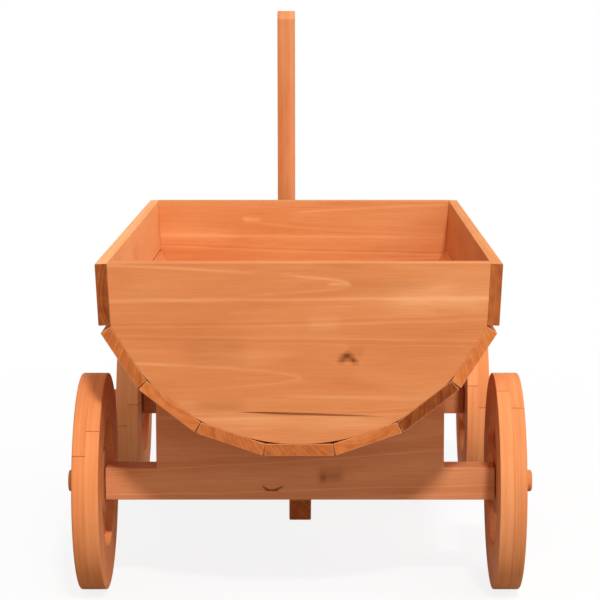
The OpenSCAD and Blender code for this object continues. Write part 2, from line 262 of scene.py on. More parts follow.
class ShaderTree(Tree):
    """The node tree of a new material."""

    def __init__(self, name: str) -> None:
        """Makes the material."""
        self.material = bpy.data.materials.new(name)
        self.material.use_nodes = True
        super().__init__(self.material.node_tree)

    def attribute(self, name: str) -> bpy.types.NodeSocket:
        """A vector that the piece's mesh holds."""
        return self.node("ShaderNodeAttribute", {"attribute_name": name}).outputs["Vector"]

    def number(self, name: str) -> Value:
        """A number that the piece's mesh holds."""
        return Value(self, self.node("ShaderNodeAttribute", {"attribute_name": name}).outputs["Fac"])

    def split(self, vector: bpy.types.NodeSocket) -> tuple[Value, Value, Value]:
        """The three numbers of a vector."""
        outputs = self.node("ShaderNodeSeparateXYZ", None, {"Vector": vector}).outputs
        return tuple(Value(self, outputs[axis]) for axis in "XYZ")

    def length(self, vector: bpy.types.NodeSocket) -> Value:
        """The length of a vector."""
        made = self.node("ShaderNodeVectorMath", {"operation": "LENGTH"}, {0: vector})
        return Value(self, made.outputs["Value"])

    def stretched(self, vector: bpy.types.NodeSocket, by: Sequence[float]) -> bpy.types.NodeSocket:
        """A vector with each of its numbers multiplied."""
        made = self.node("ShaderNodeVectorMath", {"operation": "MULTIPLY"}, {0: vector, 1: tuple(by)})
        return made.outputs["Vector"]

    def noise(self, vector: bpy.types.NodeSocket, by: Sequence[float], detail: float = 2.0) -> Value:
        """Smooth noise about zero.

        Args:
            vector: where it is read.
            by: how many times it changes in a metre along each axis.
            detail: how many finer layers it has.

        Returns:
            The noise, mostly between -0.25 and 0.25.
        """
        inputs = {"Vector": self.stretched(vector, by), "Scale": 1.0, "Detail": detail}
        made = self.node("ShaderNodeTexNoise", None, inputs)
        return Value(self, made.outputs["Fac"]) - 0.5

    def noise_along(self, number: Value, detail: float = 1.0) -> Value:
        """Smooth noise about zero that changes with one number."""
        inputs = {"W": number, "Scale": 1.0, "Detail": detail}
        made = self.node("ShaderNodeTexNoise", {"noise_dimensions": "1D"}, inputs)
        return Value(self, made.outputs["Fac"]) - 0.5

    def ramp(self, number: Value, *stops: tuple[float, Colour]) -> bpy.types.NodeSocket:
        """A colour for each value of a number."""
        return self.node("ShaderNodeValToRGB", {"stops": stops}, {"Fac": number}).outputs["Color"]

    def mix(self, share: Number, first: object, second: object) -> bpy.types.NodeSocket:
        """Two colours mixed, with share of the second."""
        # A Mix node's sockets for colours share their names with those for numbers, so they go by place
        made = self.node("ShaderNodeMix", {"data_type": "RGBA"}, {0: share, 6: first, 7: second})
        return made.outputs[2]

    def lit(self, colour: bpy.types.NodeSocket, by: Number) -> bpy.types.NodeSocket:
        """A colour made lighter or darker."""
        made = self.node("ShaderNodeVectorMath", {"operation": "SCALE"}, {0: colour, "Scale": by})
        return made.outputs["Vector"]

    def bump(self, height: Value, depth: float, strength: float) -> bpy.types.NodeSocket:
        """The normal of a surface that rises by up to depth."""
        inputs = {"Height": height, "Distance": depth, "Strength": strength}
        return self.node("ShaderNodeBump", None, inputs).outputs["Normal"]

    def close(self, **inputs: object) -> bpy.types.Material:
        """Ends the tree in a Principled shader.

        Args:
            inputs: its sockets, with _ for each space in a name.

        Returns:
            The finished material.
        """
        named = {name.replace("_", " "): value for name, value in inputs.items()}
        shader = self.node("ShaderNodeBsdfPrincipled", None, named)
        self.node("ShaderNodeOutputMaterial", None, {"Surface": shader.outputs["BSDF"]})
        return self.material


class GeometryTree(Tree):
    """A Geometry Nodes tree with named inputs, which is run into a plain mesh."""

    KINDS = {float: "NodeSocketFloat", int: "NodeSocketInt", Vector: "NodeSocketVector"}

    def __init__(self, name: str, **inputs: type) -> None:
        """Makes the tree, with an input of each name and kind beside its geometry and its material."""
        super().__init__(bpy.data.node_groups.new(name, "GeometryNodeTree"))
        face = self.tree.interface
        face.new_socket("Geometry", in_out="INPUT", socket_type="NodeSocketGeometry")
        for label, kind in inputs.items():
            face.new_socket(label, in_out="INPUT", socket_type=self.KINDS[kind])
        face.new_socket("material", in_out="INPUT", socket_type="NodeSocketMaterial")
        face.new_socket("Geometry", in_out="OUTPUT", socket_type="NodeSocketGeometry")
        self.given = self.node("NodeGroupInput").outputs

    def size(self, name: str) -> Value:
        """A number that the tree is given."""
        return Value(self, self.given[name])

    def bar(
        self, path: bpy.types.NodeSocket, width: Number, height: Number, edge: Number
    ) -> bpy.types.NodeSocket:
        """A bar with rounded edges and closed ends along a curve.

        Args:
            path: the curve.
            width, height: the size of its section.
            edge: the radius of its long edges.

        Returns:
            The bar's mesh.
        """
        section = {"Width": width, "Height": height}
        outline = self.node("GeometryNodeCurvePrimitiveQuadrilateral", None, section)
        rounded = self.node(
            "GeometryNodeFilletCurve",
            {"mode": "POLY"},
            {"Curve": outline.outputs["Curve"], "Radius": edge, "Count": EDGE_POINTS},
        )
        inputs = {"Curve": path, "Profile Curve": rounded.outputs["Curve"], "Fill Caps": True}
        return self.node("GeometryNodeCurveToMesh", None, inputs).outputs["Mesh"]

    def moved(
        self, geometry: bpy.types.NodeSocket, by: object, turn: Sequence[float] = (0.0, 0.0, 0.0)
    ) -> bpy.types.NodeSocket:
        """Geometry that is turned and then moved."""
        inputs = {"Geometry": geometry, "Translation": by, "Rotation": turn}
        return self.node("GeometryNodeTransform", None, inputs).outputs["Geometry"]

    def joined(self, operation: str, inputs: dict) -> bpy.types.NodeSocket:
        """Solids that are united, or cut from another."""
        settings = {"operation": operation, "solver": "MANIFOLD"}
        return self.node("GeometryNodeMeshBoolean", settings, inputs).outputs["Mesh"]

    def round_axle(self, count: Value, first: Value, piece: bpy.types.NodeSocket) -> bpy.types.NodeSocket:
        """Copies of a piece, evenly round the Z axis, with the first one at an angle."""
        points = self.node("GeometryNodePoints", None, {"Count": count}).outputs["Points"]
        index = Value(self, self.node("GeometryNodeInputIndex").outputs["Index"])
        turn = self.vector(z=index * (2 * math.pi / count) + first)
        inputs = {"Points": points, "Instance": piece, "Rotation": turn}
        return self.node("GeometryNodeInstanceOnPoints", None, inputs).outputs["Instances"]

    def close(self, geometry: bpy.types.NodeSocket) -> None:
        """Ends the tree: instances become real, and get the material that is given."""
        real = self.node("GeometryNodeRealizeInstances", None, {"Geometry": geometry})
        inputs = {"Geometry": real.outputs["Geometry"], "Material": self.given["material"]}
        dressed = self.node("GeometryNodeSetMaterial", None, inputs)
        self.node("NodeGroupOutput", None, {"Geometry": dressed.outputs["Geometry"]})

    def run(self, piece: bpy.types.Object, **values: object) -> None:
        """Runs the tree on a piece and keeps the result as the piece's own mesh.

        Args:
            piece: the object, whose mesh is the tree's geometry.
            values: the tree's inputs, by name.
        """
        modifier = piece.modifiers.new(self.tree.name, "NODES")
        modifier.node_group = self.tree
        for item in self.tree.interface.items_tree:
            if item.in_out == "INPUT" and item.name in values:
                modifier[item.identifier] = values[item.name]
        bake(piece)


def bake(piece: bpy.types.Object) -> None:
    """Makes what a piece's modifiers give its own plain mesh, and removes them."""
    graph = bpy.context.evaluated_depsgraph_get()
    shown = piece.evaluated_get(graph)
    made = bpy.data.meshes.new_from_object(shown, preserve_all_data_layers=True, depsgraph=graph)
    old = piece.data
    piece.modifiers.clear()
    piece.data = made
    bpy.data.meshes.remove(old)


def new_piece(name: str, mesh: bmesh.types.BMesh) -> bpy.types.Object:
    """Makes an object of a mesh in the making, which is used up."""
    data = bpy.data.meshes.new(name)
    mesh.to_mesh(data)
    mesh.free()
    piece = bpy.data.objects.new(name, data)
    bpy.context.scene.collection.objects.link(piece)
    return piece


def axes(origin: Vector, first: Vector, second: Vector) -> Matrix:
    """The matrix of a place with two of its axes; the third is square to both."""
    columns = (first, second, first.cross(second), origin)
    return Matrix([[column[row] for column in columns] for row in range(3)] + [[0.0, 0.0, 0.0, 1.0]])


def prism(
    outline: Sequence[Point],
    low: float,
    high: float,
    place: Matrix,
    into: Optional[bmesh.types.BMesh] = None,
) -> bmesh.types.BMesh:
    """Draws an outline out into a solid.

    Args:
        outline: its corners in the first two axes of place.
        low, high: the two ends along the third axis.
        place: the frame that it is drawn in.
        into: a mesh to add it to.

    Returns:
        The mesh.
    """
    mesh = into or bmesh.new()
    ends = [[mesh.verts.new(place @ Vector((u, v, w))) for u, v in outline] for w in (low, high)]
    faces = [mesh.faces.new(end) for end in ends]
    for i in range(len(outline)):
        faces.append(mesh.faces.new((ends[0][i - 1], ends[0][i], ends[1][i], ends[1][i - 1])))
    bmesh.ops.recalc_face_normals(mesh, faces=faces)
    return mesh


def rod(low: float, high: float, r: float) -> list[Point]:
    """The profile of a plain rod, from low to high along its axis."""
    return [(low, 0.0), (low, r), (high, r), (high, 0.0)]


def turned(
    profile: Sequence[Point],
    place: Matrix,
    into: Optional[bmesh.types.BMesh] = None,
    closed: bool = False,
    steps: int = TURN_STEPS,
) -> bmesh.types.BMesh:
    """Turns a profile on a lathe, about the first axis of place.

    Args:
        profile: points along the axis and away from it.
        place: the frame that it is turned in.
        into: a mesh to add it to.
        closed: True for a ring, whose last point joins its first. Otherwise both ends lie on the axis.
        steps: how many steps a turn has.

    Returns:
        The mesh.
    """
    mesh = into or bmesh.new()
    rings = []
    for along, out in profile:
        angles = [2 * math.pi * step / steps for step in range(steps if out > 0 else 1)]
        ring = [Vector((along, out * math.cos(a), out * math.sin(a))) for a in angles]
        rings.append([mesh.verts.new(place @ point) for point in ring])
    faces = []
    for i in range(0 if closed else 1, len(rings)):
        near, far = rings[i - 1], rings[i]
        for step in range(steps):
            corners = [near[step % len(near)], near[(step + 1) % len(near)]]
            corners += [far[(step + 1) % len(far)], far[step % len(far)]]
            faces.append(mesh.faces.new(list(dict.fromkeys(corners))))
    bmesh.ops.recalc_face_normals(mesh, faces=faces)
    return mesh


def ease(mesh: bmesh.types.BMesh, width: float, steps: int = 2) -> None:
    """Takes the sharp edges off a solid, and marks the new faces for paler paint: wear and a painted
    highlight.
    """
    edge_wear_and_highlight_layer = mesh.faces.layers.float.get("wear") or mesh.faces.layers.float.new("wear")
    edges = [edge for edge in mesh.edges if edge.calc_face_angle(0.0) > SHARP]
    made = bmesh.ops.bevel(
        mesh, geom=edges, offset=width, offset_type="OFFSET", segments=steps, profile=0.5, affect="EDGES",
        clamp_overlap=True,
    )
    for face in made["faces"]:
        face[edge_wear_and_highlight_layer] = 1.0


def cut(piece: bpy.types.Object, cutter: bmesh.types.BMesh) -> None:
    """Cuts solids out of a piece. The cutter is used up."""
    tool = new_piece(piece.name + "_cutter", cutter)
    modifier = piece.modifiers.new("cut", "BOOLEAN")
    modifier.operation = "DIFFERENCE"
    modifier.solver = "MANIFOLD"
    modifier.object = tool
    bake(piece)
    mesh = tool.data
    bpy.data.objects.remove(tool)
    bpy.data.meshes.remove(mesh)


def smooth(piece: bpy.types.Object) -> None:
    """Shades a piece smooth across its soft edges, while its large faces stay flat."""
    mesh = piece.data
    mesh.polygons.foreach_set("use_smooth", [True] * len(mesh.polygons))
    mesh.set_sharp_from_angle(angle=SHARP)
    modifier = piece.modifiers.new("flat faces", "WEIGHTED_NORMAL")
    modifier.keep_sharp = True
    bake(piece)


class Side(Enum):
    """The two long sides of the wagon, as the sign of their X."""

    LEFT = -1
    RIGHT = 1


class Cut(Enum):
    """How a board was sawn: how far the heart of the tree lies to its side, and how deep behind its face."""

    FLAT = (0 * MM, 46 * MM)
    RIFT = (58 * MM, 52 * MM)
    QUARTER = (120 * MM, 12 * MM)

    def heart(self, tip: float, slope: float, side: int = 1) -> "Heart":
        """The heart of a board that was sawn this way.

        Args:
            tip: where the tongue of the first ring ends along the grain.
            slope: how fast the rings rise along the grain.
            side: 1 or -1, the side that the heart lies to.

        Returns:
            The heart.
        """
        across, depth = self.value
        return Heart(tip, side * across, depth, slope)


@dataclass(frozen=True)
class Heart:
    """The heart of the tree behind a board's face, with the tongue that its first ring draws there."""

    tip: float
    across: float
    depth: float
    slope: float

    def measure(self, local: Vector) -> Vector:
        """A point seen from the heart: its first number plus the length of the rest is a ring's radius."""
        along, across, out = local
        return Vector((self.slope * (along - self.tip) - self.depth, across - self.across, self.depth + out))


@dataclass(frozen=True)
class Mark:
    """A knot or a streak: its middle and half size along and across the grain, its slope and strength."""

    along: float
    across: float
    half_length: float
    half_width: float
    slope: float = 0.0
    strength: float = 1.0

    def measure(self, local: Vector) -> Vector:
        """A point seen from the mark, in units of its size, and the mark's strength."""
        along = local.x - self.along
        across = local.y - self.across - self.slope * along
        return Vector((along / self.half_length, across / self.half_width, self.strength))


NOWHERE = Vector((FAR_AWAY, FAR_AWAY, FAR_AWAY))
# The attributes that hold what a board's points are measured from, by the field of its grain
MEASURES = {
    "hearts": ("heart_a", "heart_b"),
    "knots": ("knot_a", "knot_b", "knot_c"),
    "pale": ("pale_a", "pale_b", "pale_c", "pale_d", "pale_e", "pale_f"),
    "dark": ("dark_a", "dark_b", "dark_c", "dark_d", "dark_e"),
}


@dataclass
class Grain:
    """How a straight board lies in its tree.

    Its place has the grain as its first axis, and the way out of its face as its third.
    """

    place: Matrix
    hearts: Sequence[Heart]
    knots: Sequence[Mark] = ()
    pale: Sequence[Mark] = ()
    dark: Sequence[Mark] = ()
    # How light its faces and its sawn ends are, and how far its figure is bleached
    tone: float = 1.0
    end_tone: float = 1.0
    bleach: float = 0.0
    seed: float = 0.0

    def number(self, centre: Vector) -> int:
        """Which of several boards a face belongs to."""
        return 0

    def locate(self, point: Vector, number: int) -> Vector:
        """A point as it lies along the grain, across it and out of the face."""
        return self.place.inverted() @ point

    def heading(self, centre: Vector) -> Vector:
        """The way the grain runs at a face."""
        return self.place.to_3x3().col[0]

    def dress(self, mesh: bpy.types.Mesh) -> None:
        """Writes on every corner of a mesh where it lies in the tree.

        Args:
            mesh: the finished mesh of a piece.
        """
        columns = {name: [] for names in MEASURES.values() for name in names}
        columns |= {"grain": [], "tone": []}
        ends, seeds = [], []
        for face in mesh.polygons:
            number = self.number(face.center)
            seed = self.seed + number
            shift = Vector((vary(seed, 0, APART), vary(seed + 0.5, 0, APART), seed))
            tone = Vector((self.tone * vary(seed + 0.2, *TONES), self.end_tone, self.bleach))
            end = abs(face.normal.dot(self.heading(face.center)))
            for index in face.vertices:
                local = self.locate(mesh.vertices[index].co, number)
                columns["grain"].append(local + shift)
                columns["tone"].append(tone)
                for kind, names in MEASURES.items():
                    for name, mark in zip(names, [*getattr(self, kind), *[None] * len(names)]):
                        columns[name].append(mark.measure(local) if mark else NOWHERE)
                ends.append(end)
                seeds.append(seed)
        for name, column in columns.items():
            made = mesh.attributes.new(name, "FLOAT_VECTOR", "CORNER")
            made.data.foreach_set("vector", [number for vector in column for number in vector])
        for name, column in (("end", ends), ("seed", seeds)):
            mesh.attributes.new(name, "FLOAT", "CORNER").data.foreach_set("value", column)


@dataclass
class RoundGrain(Grain):
    """The grain of like pieces that stand round an axle, which is the third axis of its place."""

    count: int = 2
    first: float = 0.0

    @property
    def pitch(self) -> float:
        """The angle from one piece to the next."""
        return 2 * math.pi / self.count

    def steps(self, centre: Vector) -> float:
        """How many pieces on from the first one a point lies."""
        local = self.place.inverted() @ centre
        return (math.atan2(local.y, local.x) - self.first) / self.pitch


@dataclass
class SpokeGrain(RoundGrain):
    """The grain of bars that stand out from an axle."""

    def number(self, centre: Vector) -> int:
        """Which bar a face belongs to."""
        return round(self.steps(centre)) % self.count

    def locate(self, point: Vector, number: int) -> Vector:
        """A point as it lies along its bar, across it and out of the wheel."""
        turn = Matrix.Rotation(-self.first - number * self.pitch, 4, "Z")
        return turn @ self.place.inverted() @ point

    def heading(self, centre: Vector) -> Vector:
        """The way out from the axle along the bar."""
        angle = self.first + self.number(centre) * self.pitch
        return self.place.to_3x3() @ Vector((math.cos(angle), math.sin(angle), 0.0))


@dataclass
class RimGrain(RoundGrain):
    """The grain of rim segments, which follows the tread."""

    radius: float = 100 * MM

    def number(self, centre: Vector) -> int:
        """Which segment a face belongs to."""
        return math.floor(self.steps(centre)) % self.count

    def locate(self, point: Vector, number: int) -> Vector:
        """A point as it lies along the tread from its segment's middle, across the tread and out of it."""
        local = self.place.inverted() @ point
        middle = self.first + (number + 0.5) * self.pitch
        angle = (math.atan2(local.y, local.x) - middle + math.pi) % (2 * math.pi) - math.pi
        return Vector((self.radius * angle, local.z, local.xy.length - self.radius))

    def heading(self, centre: Vector) -> Vector:
        """The way along the tread."""
        local = self.place.inverted() @ centre
        return self.place.to_3x3() @ Vector((-local.y, local.x, 0.0)).normalized()


@dataclass(frozen=True)
class FirFinish:
    """Stained fir in one use: its colours, the width of its rings and the strength of its figure."""

    name: str
    slot: str
    deep: Colour = seen(190, 104, 58)
    body: Colour = seen(222, 136, 82)
    pale: Colour = seen(244, 170, 116)
    end_deep: Colour = seen(146, 64, 30)
    end_body: Colour = seen(205, 116, 60)
    end_pale: Colour = seen(228, 142, 82)
    knot_core: Colour = seen(120, 66, 34)
    knot_rim: Colour = seen(178, 104, 58)
    check: Colour = seen(110, 58, 32)
    ring: float = 3.6 * MM
    rings_show: float = 0.3
    bands_show: float = 0.3
    fibres_show: float = 0.34
    stain_shows: float = 0.5
    # How much paler eased edges are painted: partly wear, partly a painted highlight where they catch the
    # light
    edge_wear_and_highlight_shows: float = 0.07

    # How far the rings wander and wobble along a board
    WANDER = 8 * MM
    WOBBLE = 1.4 * MM
    # How many times each noise changes in a metre along the grain, across it and into the board
    WANDER_BY = (2.6, 13, 13)
    WOBBLE_BY = (17, 75, 75)
    FIBRE_BY = (22, 700, 700)
    HAIR_BY = (90, 2600, 2600)
    STAIN_BY = (6, 24, 24)
    SMUDGE_BY = (11, 40, 40)
    MOTTLE_BY = (40, 130, 130)
    PATCH_BY = (15, 50, 50)
    RAGGED_BY = (22, 120, 120)
    # How many times the bands change in a metre of radius, and how far apart boards lie in bands and rings
    BANDS_BY = 190
    BAND_SHIFT = 7.3
    RING_SHIFT = 5.7
    # How unevenly rings are spaced and how much their strength differs, and how fast each changes
    UNEVEN = 1.5
    UNEVEN_BY = 0.8
    STRENGTH = 2.2
    STRENGTH_BY = 0.43
    STRENGTH_SHIFT = 9.1
    STRENGTH_STEP = (0.2, 1.0)
    # Where in a ring its thin line comes and goes on a face, and its soft band at a sawn end
    LINE_COMES = (0.6, 0.9)
    LINE_GOES = (0.93, 1.0)
    YEAR_COMES = (0.2, 0.8)
    YEAR_GOES = (0.85, 1.0)
    # The line that the first ring draws: half its width, its wobble, its patches, and its faint side
    FIRST_HALF = 1.4 * MM
    FIRST_WOBBLE = 0.3
    PATCH_MEAN = 0.75
    PATCHES = 2.0
    PATCH_STEP = (0.1, 1.0)
    FAINT_SIDE = 0.4
    # Keeps the width of that line finite where the ring lies level with the face
    LEAST_RISE = 0.0004
    # How faint the other rings are inside the first one, and where that ends
    CALM = 0.2
    CALM_STEP = (-1.0 * MM, 1.5 * MM)
    # How far a knot lifts the rings, and how fast that fades
    KNOT_LIFT = 2.2 * MM
    KNOT_FADE = 0.45
    # How ragged a knot is, how strongly its rim and its core show, and where they end in units of its size
    KNOT_STAIN = 1.4
    KNOT_FIBRE = 1.2
    KNOT_RIM = 0.75
    KNOT_RIM_STEP = (0.7, 2.1)
    KNOT_CORE = 0.92
    KNOT_CORE_STEP = (0.2, 1.15)
    # How ragged a streak is, and where it fades, as the square of a share of its half length
    RAGGED = 1.6
    STREAK_STEP = (0.1, 1.0)
    # How square to the grain a sawn end is, and how strong a noise makes a smudge
    SAWN_STEP = (0.75, 0.95)
    SMUDGE_STEP = (0.08, 0.3)
    # What each part adds to a face's figure, in which the middle is the body of the wood
    MIDDLE = 0.5
    LINE_MEAN = 0.1
    FIRST_SHOWS = 0.3
    HAIR_SHOWS = 0.6
    SMUDGE_SHOWS = 0.22
    STREAK_SHOWS = 0.32
    # How much the uneven stain changes the paler eased edges, which are partly wear and partly a painted
    # highlight
    STAIN_ON_EDGE_WEAR_AND_HIGHLIGHT = 0.3
    # What each part adds to a sawn end, the place of its body there, and how dark the darkest end is
    SAWN_LEAST = 0.1
    SAWN_TONE = 0.5
    SAWN_YEAR = 0.16
    SAWN_BAND = 0.4
    SAWN_HAIR = 0.14
    SAWN_STAIN = 0.3
    SAWN_MOTTLE = 0.5
    SAWN_MIDDLE = 0.6
    SAWN_DARK = 0.5
    # What each part adds to the height of the surface, and how deep that is
    FIBRE_HEIGHT = 0.5
    HAIR_HEIGHT = 0.35
    LINE_HEIGHT = 0.2
    SAWN_HEIGHT = 0.5
    BUMP_DEEP = 0.35 * MM
    BUMP_STRENGTH = 0.35
    # The roughness, what each part changes in it, and how much the stain mirrors
    ROUGH = 0.66
    FIBRE_ROUGH = 0.3
    SAWN_ROUGH = 0.1
    LINE_GLOSS = 0.06
    MIRROR = 0.02

    def material(self) -> bpy.types.Material:
        """Builds the material.

        Returns:
            Fir with rings about its hearts, fibres, uneven stain, knots, checks, end grain, and eased edges
            painted paler as wear and as a painted highlight.
        """
        tree = ShaderTree(self.name)
        grain = tree.attribute("grain")
        tone, end_tone, bleach = tree.split(tree.attribute("tone"))
        seed = tree.number("seed")
        end = tree.number("end").within(*self.SAWN_STEP)
        wear = tree.number("wear")
        fibre = tree.noise(grain, self.FIBRE_BY, detail=3.0)
        hair = tree.noise(grain, self.HAIR_BY, detail=1.0)
        stain = tree.noise(grain, self.STAIN_BY, detail=3.0)
        smudge = tree.noise(grain, self.SMUDGE_BY).within(*self.SMUDGE_STEP)
        mottle = tree.noise(grain, self.MOTTLE_BY)
        knots = [self._reach(tree, name) for name in MEASURES["knots"]]
        radius, first, calm = self._radius(tree, grain, knots)
        line, year = self._rings(tree, radius, seed)
        band = tree.noise_along(radius * self.BANDS_BY + seed * self.BAND_SHIFT, detail=2.0)
        streaks = [self._streak(tree, name, grain) for name in MEASURES["pale"]]

        figure = (
            self.MIDDLE
            + self.rings_show * (calm * line - self.LINE_MEAN)
            + self.FIRST_SHOWS * first
            + self.bands_show * calm * band
            + self.fibres_show * (fibre + self.HAIR_SHOWS * hair)
            + self.stain_shows * (stain - self.SMUDGE_SHOWS * smudge)
            + self.STREAK_SHOWS * sum(streaks[1:], streaks[0])
            + bleach
        )
        face = tree.ramp(figure, (0.0, self.deep), (self.MIDDLE, self.body), (1.0, self.pale))
        section = (
            self.SAWN_LEAST
            + self.SAWN_TONE * end_tone
            - self.SAWN_YEAR * year
            + self.SAWN_BAND * band
            + self.SAWN_HAIR * hair
            + self.SAWN_STAIN * stain
            + self.SAWN_MOTTLE * mottle
        )
        stops = ((0.0, self.end_deep), (self.SAWN_MIDDLE, self.end_body), (1.0, self.end_pale))
        sawn = tree.ramp(section, *stops)
        sawn = tree.lit(sawn, self.SAWN_DARK + (1.0 - self.SAWN_DARK) * end_tone)
        colour = tree.mix(end, tree.lit(face, tone), sawn)
        # Eased edges painted paler: partly wear, partly a painted highlight
        colour = tree.mix(wear * (self.edge_wear_and_highlight_shows + self.STAIN_ON_EDGE_WEAR_AND_HIGHLIGHT * stain), colour, self.pale)
        for knot in knots:
            ragged = knot + self.KNOT_STAIN * stain + self.KNOT_FIBRE * fibre
            colour = self._with_knot(tree, colour, ragged)
        for name in MEASURES["dark"]:
            colour = tree.mix(self._streak(tree, name, grain), colour, self.check)

        height = (
            self.FIBRE_HEIGHT * fibre
            + self.HAIR_HEIGHT * hair
            + self.LINE_HEIGHT * line
            + self.SAWN_HEIGHT * end * hair
        )
        return tree.close(
            Base_Color=colour,
            Roughness=self.ROUGH + self.FIBRE_ROUGH * fibre + self.SAWN_ROUGH * end - self.LINE_GLOSS * line,
            Specular_IOR_Level=self.MIRROR,
            Normal=tree.bump(height, self.BUMP_DEEP, self.BUMP_STRENGTH),
        )

    def _radius(
        self, tree: ShaderTree, grain: bpy.types.NodeSocket, knots: Sequence[Value]
    ) -> tuple[Value, Value, Value]:
        """Finds which ring a point lies on.

        Args:
            tree: the material's tree.
            grain: the point in its board.
            knots: its distance from each knot.

        Returns:
            The ring's radius less that of the first ring, as rings wander and bend round knots; how strongly
            the line of the first ring shows, from 0 to 1; and how strongly the other rings show, which are
            faint inside the first one.
        """
        wobble = self.WOBBLE * tree.noise(grain, self.WOBBLE_BY, detail=1.0)
        patchy = (self.PATCH_MEAN + self.PATCHES * tree.noise(grain, self.PATCH_BY)).within(*self.PATCH_STEP)
        radii, lines = [], []
        for name in MEASURES["hearts"]:
            along, across, out = tree.split(tree.attribute(name))
            reach = (across * across + out * out) ** 0.5
            rise = across / reach
            radius = along + reach
            steep = (rise * rise + self.LEAST_RISE) ** 0.5
            line = ((radius + self.FIRST_WOBBLE * wobble) / steep / self.FIRST_HALF).bell()
            bright = across.within(-2 * self.FIRST_HALF, self.FIRST_HALF)
            lines.append(line * (self.FAINT_SIDE + (1.0 - self.FAINT_SIDE) * bright))
            radii.append(radius)
        nearest = tree.math("MINIMUM", *radii)
        calm = self.CALM + (1.0 - self.CALM) * nearest.within(*self.CALM_STEP)
        radius = nearest + self.WANDER * tree.noise(grain, self.WANDER_BY, detail=1.0) + wobble
        for knot in knots:
            radius = radius + self.KNOT_LIFT * (self.KNOT_FADE * knot).bell()
        return radius, patchy * tree.math("MAXIMUM", *lines), calm

    def _rings(self, tree: ShaderTree, radius: Value, seed: Value) -> tuple[Value, Value]:
        """Draws the rings at a radius.

        Args:
            tree: the material's tree.
            radius: the ring's radius at a point.
            seed: a number for the board.

        Returns:
            Thin pale lines of uneven strength for a board's face, and soft bands for its end, from 0 to 1.
        """
        rings = radius / self.ring + seed * self.RING_SHIFT
        part = (rings + self.UNEVEN * tree.noise_along(rings * self.UNEVEN_BY)).fraction()
        chance = tree.noise_along(rings * self.STRENGTH_BY + self.STRENGTH_SHIFT)
        strength = (self.MIDDLE + self.STRENGTH * chance).within(*self.STRENGTH_STEP)
        line = part.within(*self.LINE_COMES) * (1.0 - part.within(*self.LINE_GOES)) * strength
        return line, part.within(*self.YEAR_COMES) * (1.0 - part.within(*self.YEAR_GOES))

    @staticmethod
    def _reach(tree: ShaderTree, name: str) -> Value:
        """How far a point lies from a knot, in units of the knot's size."""
        along, across, _ = tree.split(tree.attribute(name))
        return (along * along + across * across) ** 0.5

    def _with_knot(
        self, tree: ShaderTree, colour: bpy.types.NodeSocket, reach: Value
    ) -> bpy.types.NodeSocket:
        """A colour with a knot's rim and core over it, at a distance from the knot's middle."""
        rim = self.KNOT_RIM - self.KNOT_RIM * reach.within(*self.KNOT_RIM_STEP)
        core = self.KNOT_CORE - self.KNOT_CORE * reach.within(*self.KNOT_CORE_STEP)
        return tree.mix(core, tree.mix(rim, colour, self.knot_rim), self.knot_core)

    def _streak(self, tree: ShaderTree, name: str, grain: bpy.types.NodeSocket) -> Value:
        """How strongly a streak shows at a point."""
        along, across, strength = tree.split(tree.attribute(name))
        ragged = across + self.RAGGED * tree.noise(grain, self.RAGGED_BY)
        return strength * ragged.bell() * (1.0 - (along * along).within(*self.STREAK_STEP))


@dataclass(frozen=True)
class ZincFinish:
    """Zinc-plated steel, a little dull, with fine scratches."""

    name: str
    slot: str
    dull: Colour = seen(150, 150, 148)
    bright: Colour = seen(205, 206, 208)

    # How many times the clouds and the scratches change in a metre
    CLOUD_BY = (160, 160, 160)
    SCRATCH_BY = (300, 2400, 2400)
    # Their shares in the colour, and where that is dull and bright
    MIDDLE = 0.5
    CLOUD_SHOWS = 1.3
    SCRATCH_SHOWS = 0.4
    DULL_AT = 0.1
    BRIGHT_AT = 0.9
    # The roughness and their shares in it, and how deep the scratches are
    ROUGH = 0.36
    CLOUD_ROUGH = 0.4
    SCRATCH_ROUGH = 0.2
    SCRATCH_DEEP = 0.1 * MM
    BUMP_STRENGTH = 0.25

    def material(self) -> bpy.types.Material:
        """Builds the material.

        Returns:
            Metal with cloudy plating, uneven gloss and scratches.
        """
        tree = ShaderTree(self.name)
        place = tree.node("ShaderNodeTexCoord").outputs["Object"]
        cloud = tree.noise(place, self.CLOUD_BY, detail=3.0)
        scratch = tree.noise(place, self.SCRATCH_BY)
        plating = self.MIDDLE + self.CLOUD_SHOWS * cloud + self.SCRATCH_SHOWS * scratch
        return tree.close(
            Base_Color=tree.ramp(plating, (self.DULL_AT, self.dull), (self.BRIGHT_AT, self.bright)),
            Metallic=1.0,
            Roughness=self.ROUGH + self.CLOUD_ROUGH * cloud + self.SCRATCH_ROUGH * scratch,
            Normal=tree.bump(scratch, self.SCRATCH_DEEP, self.BUMP_STRENGTH),
        )


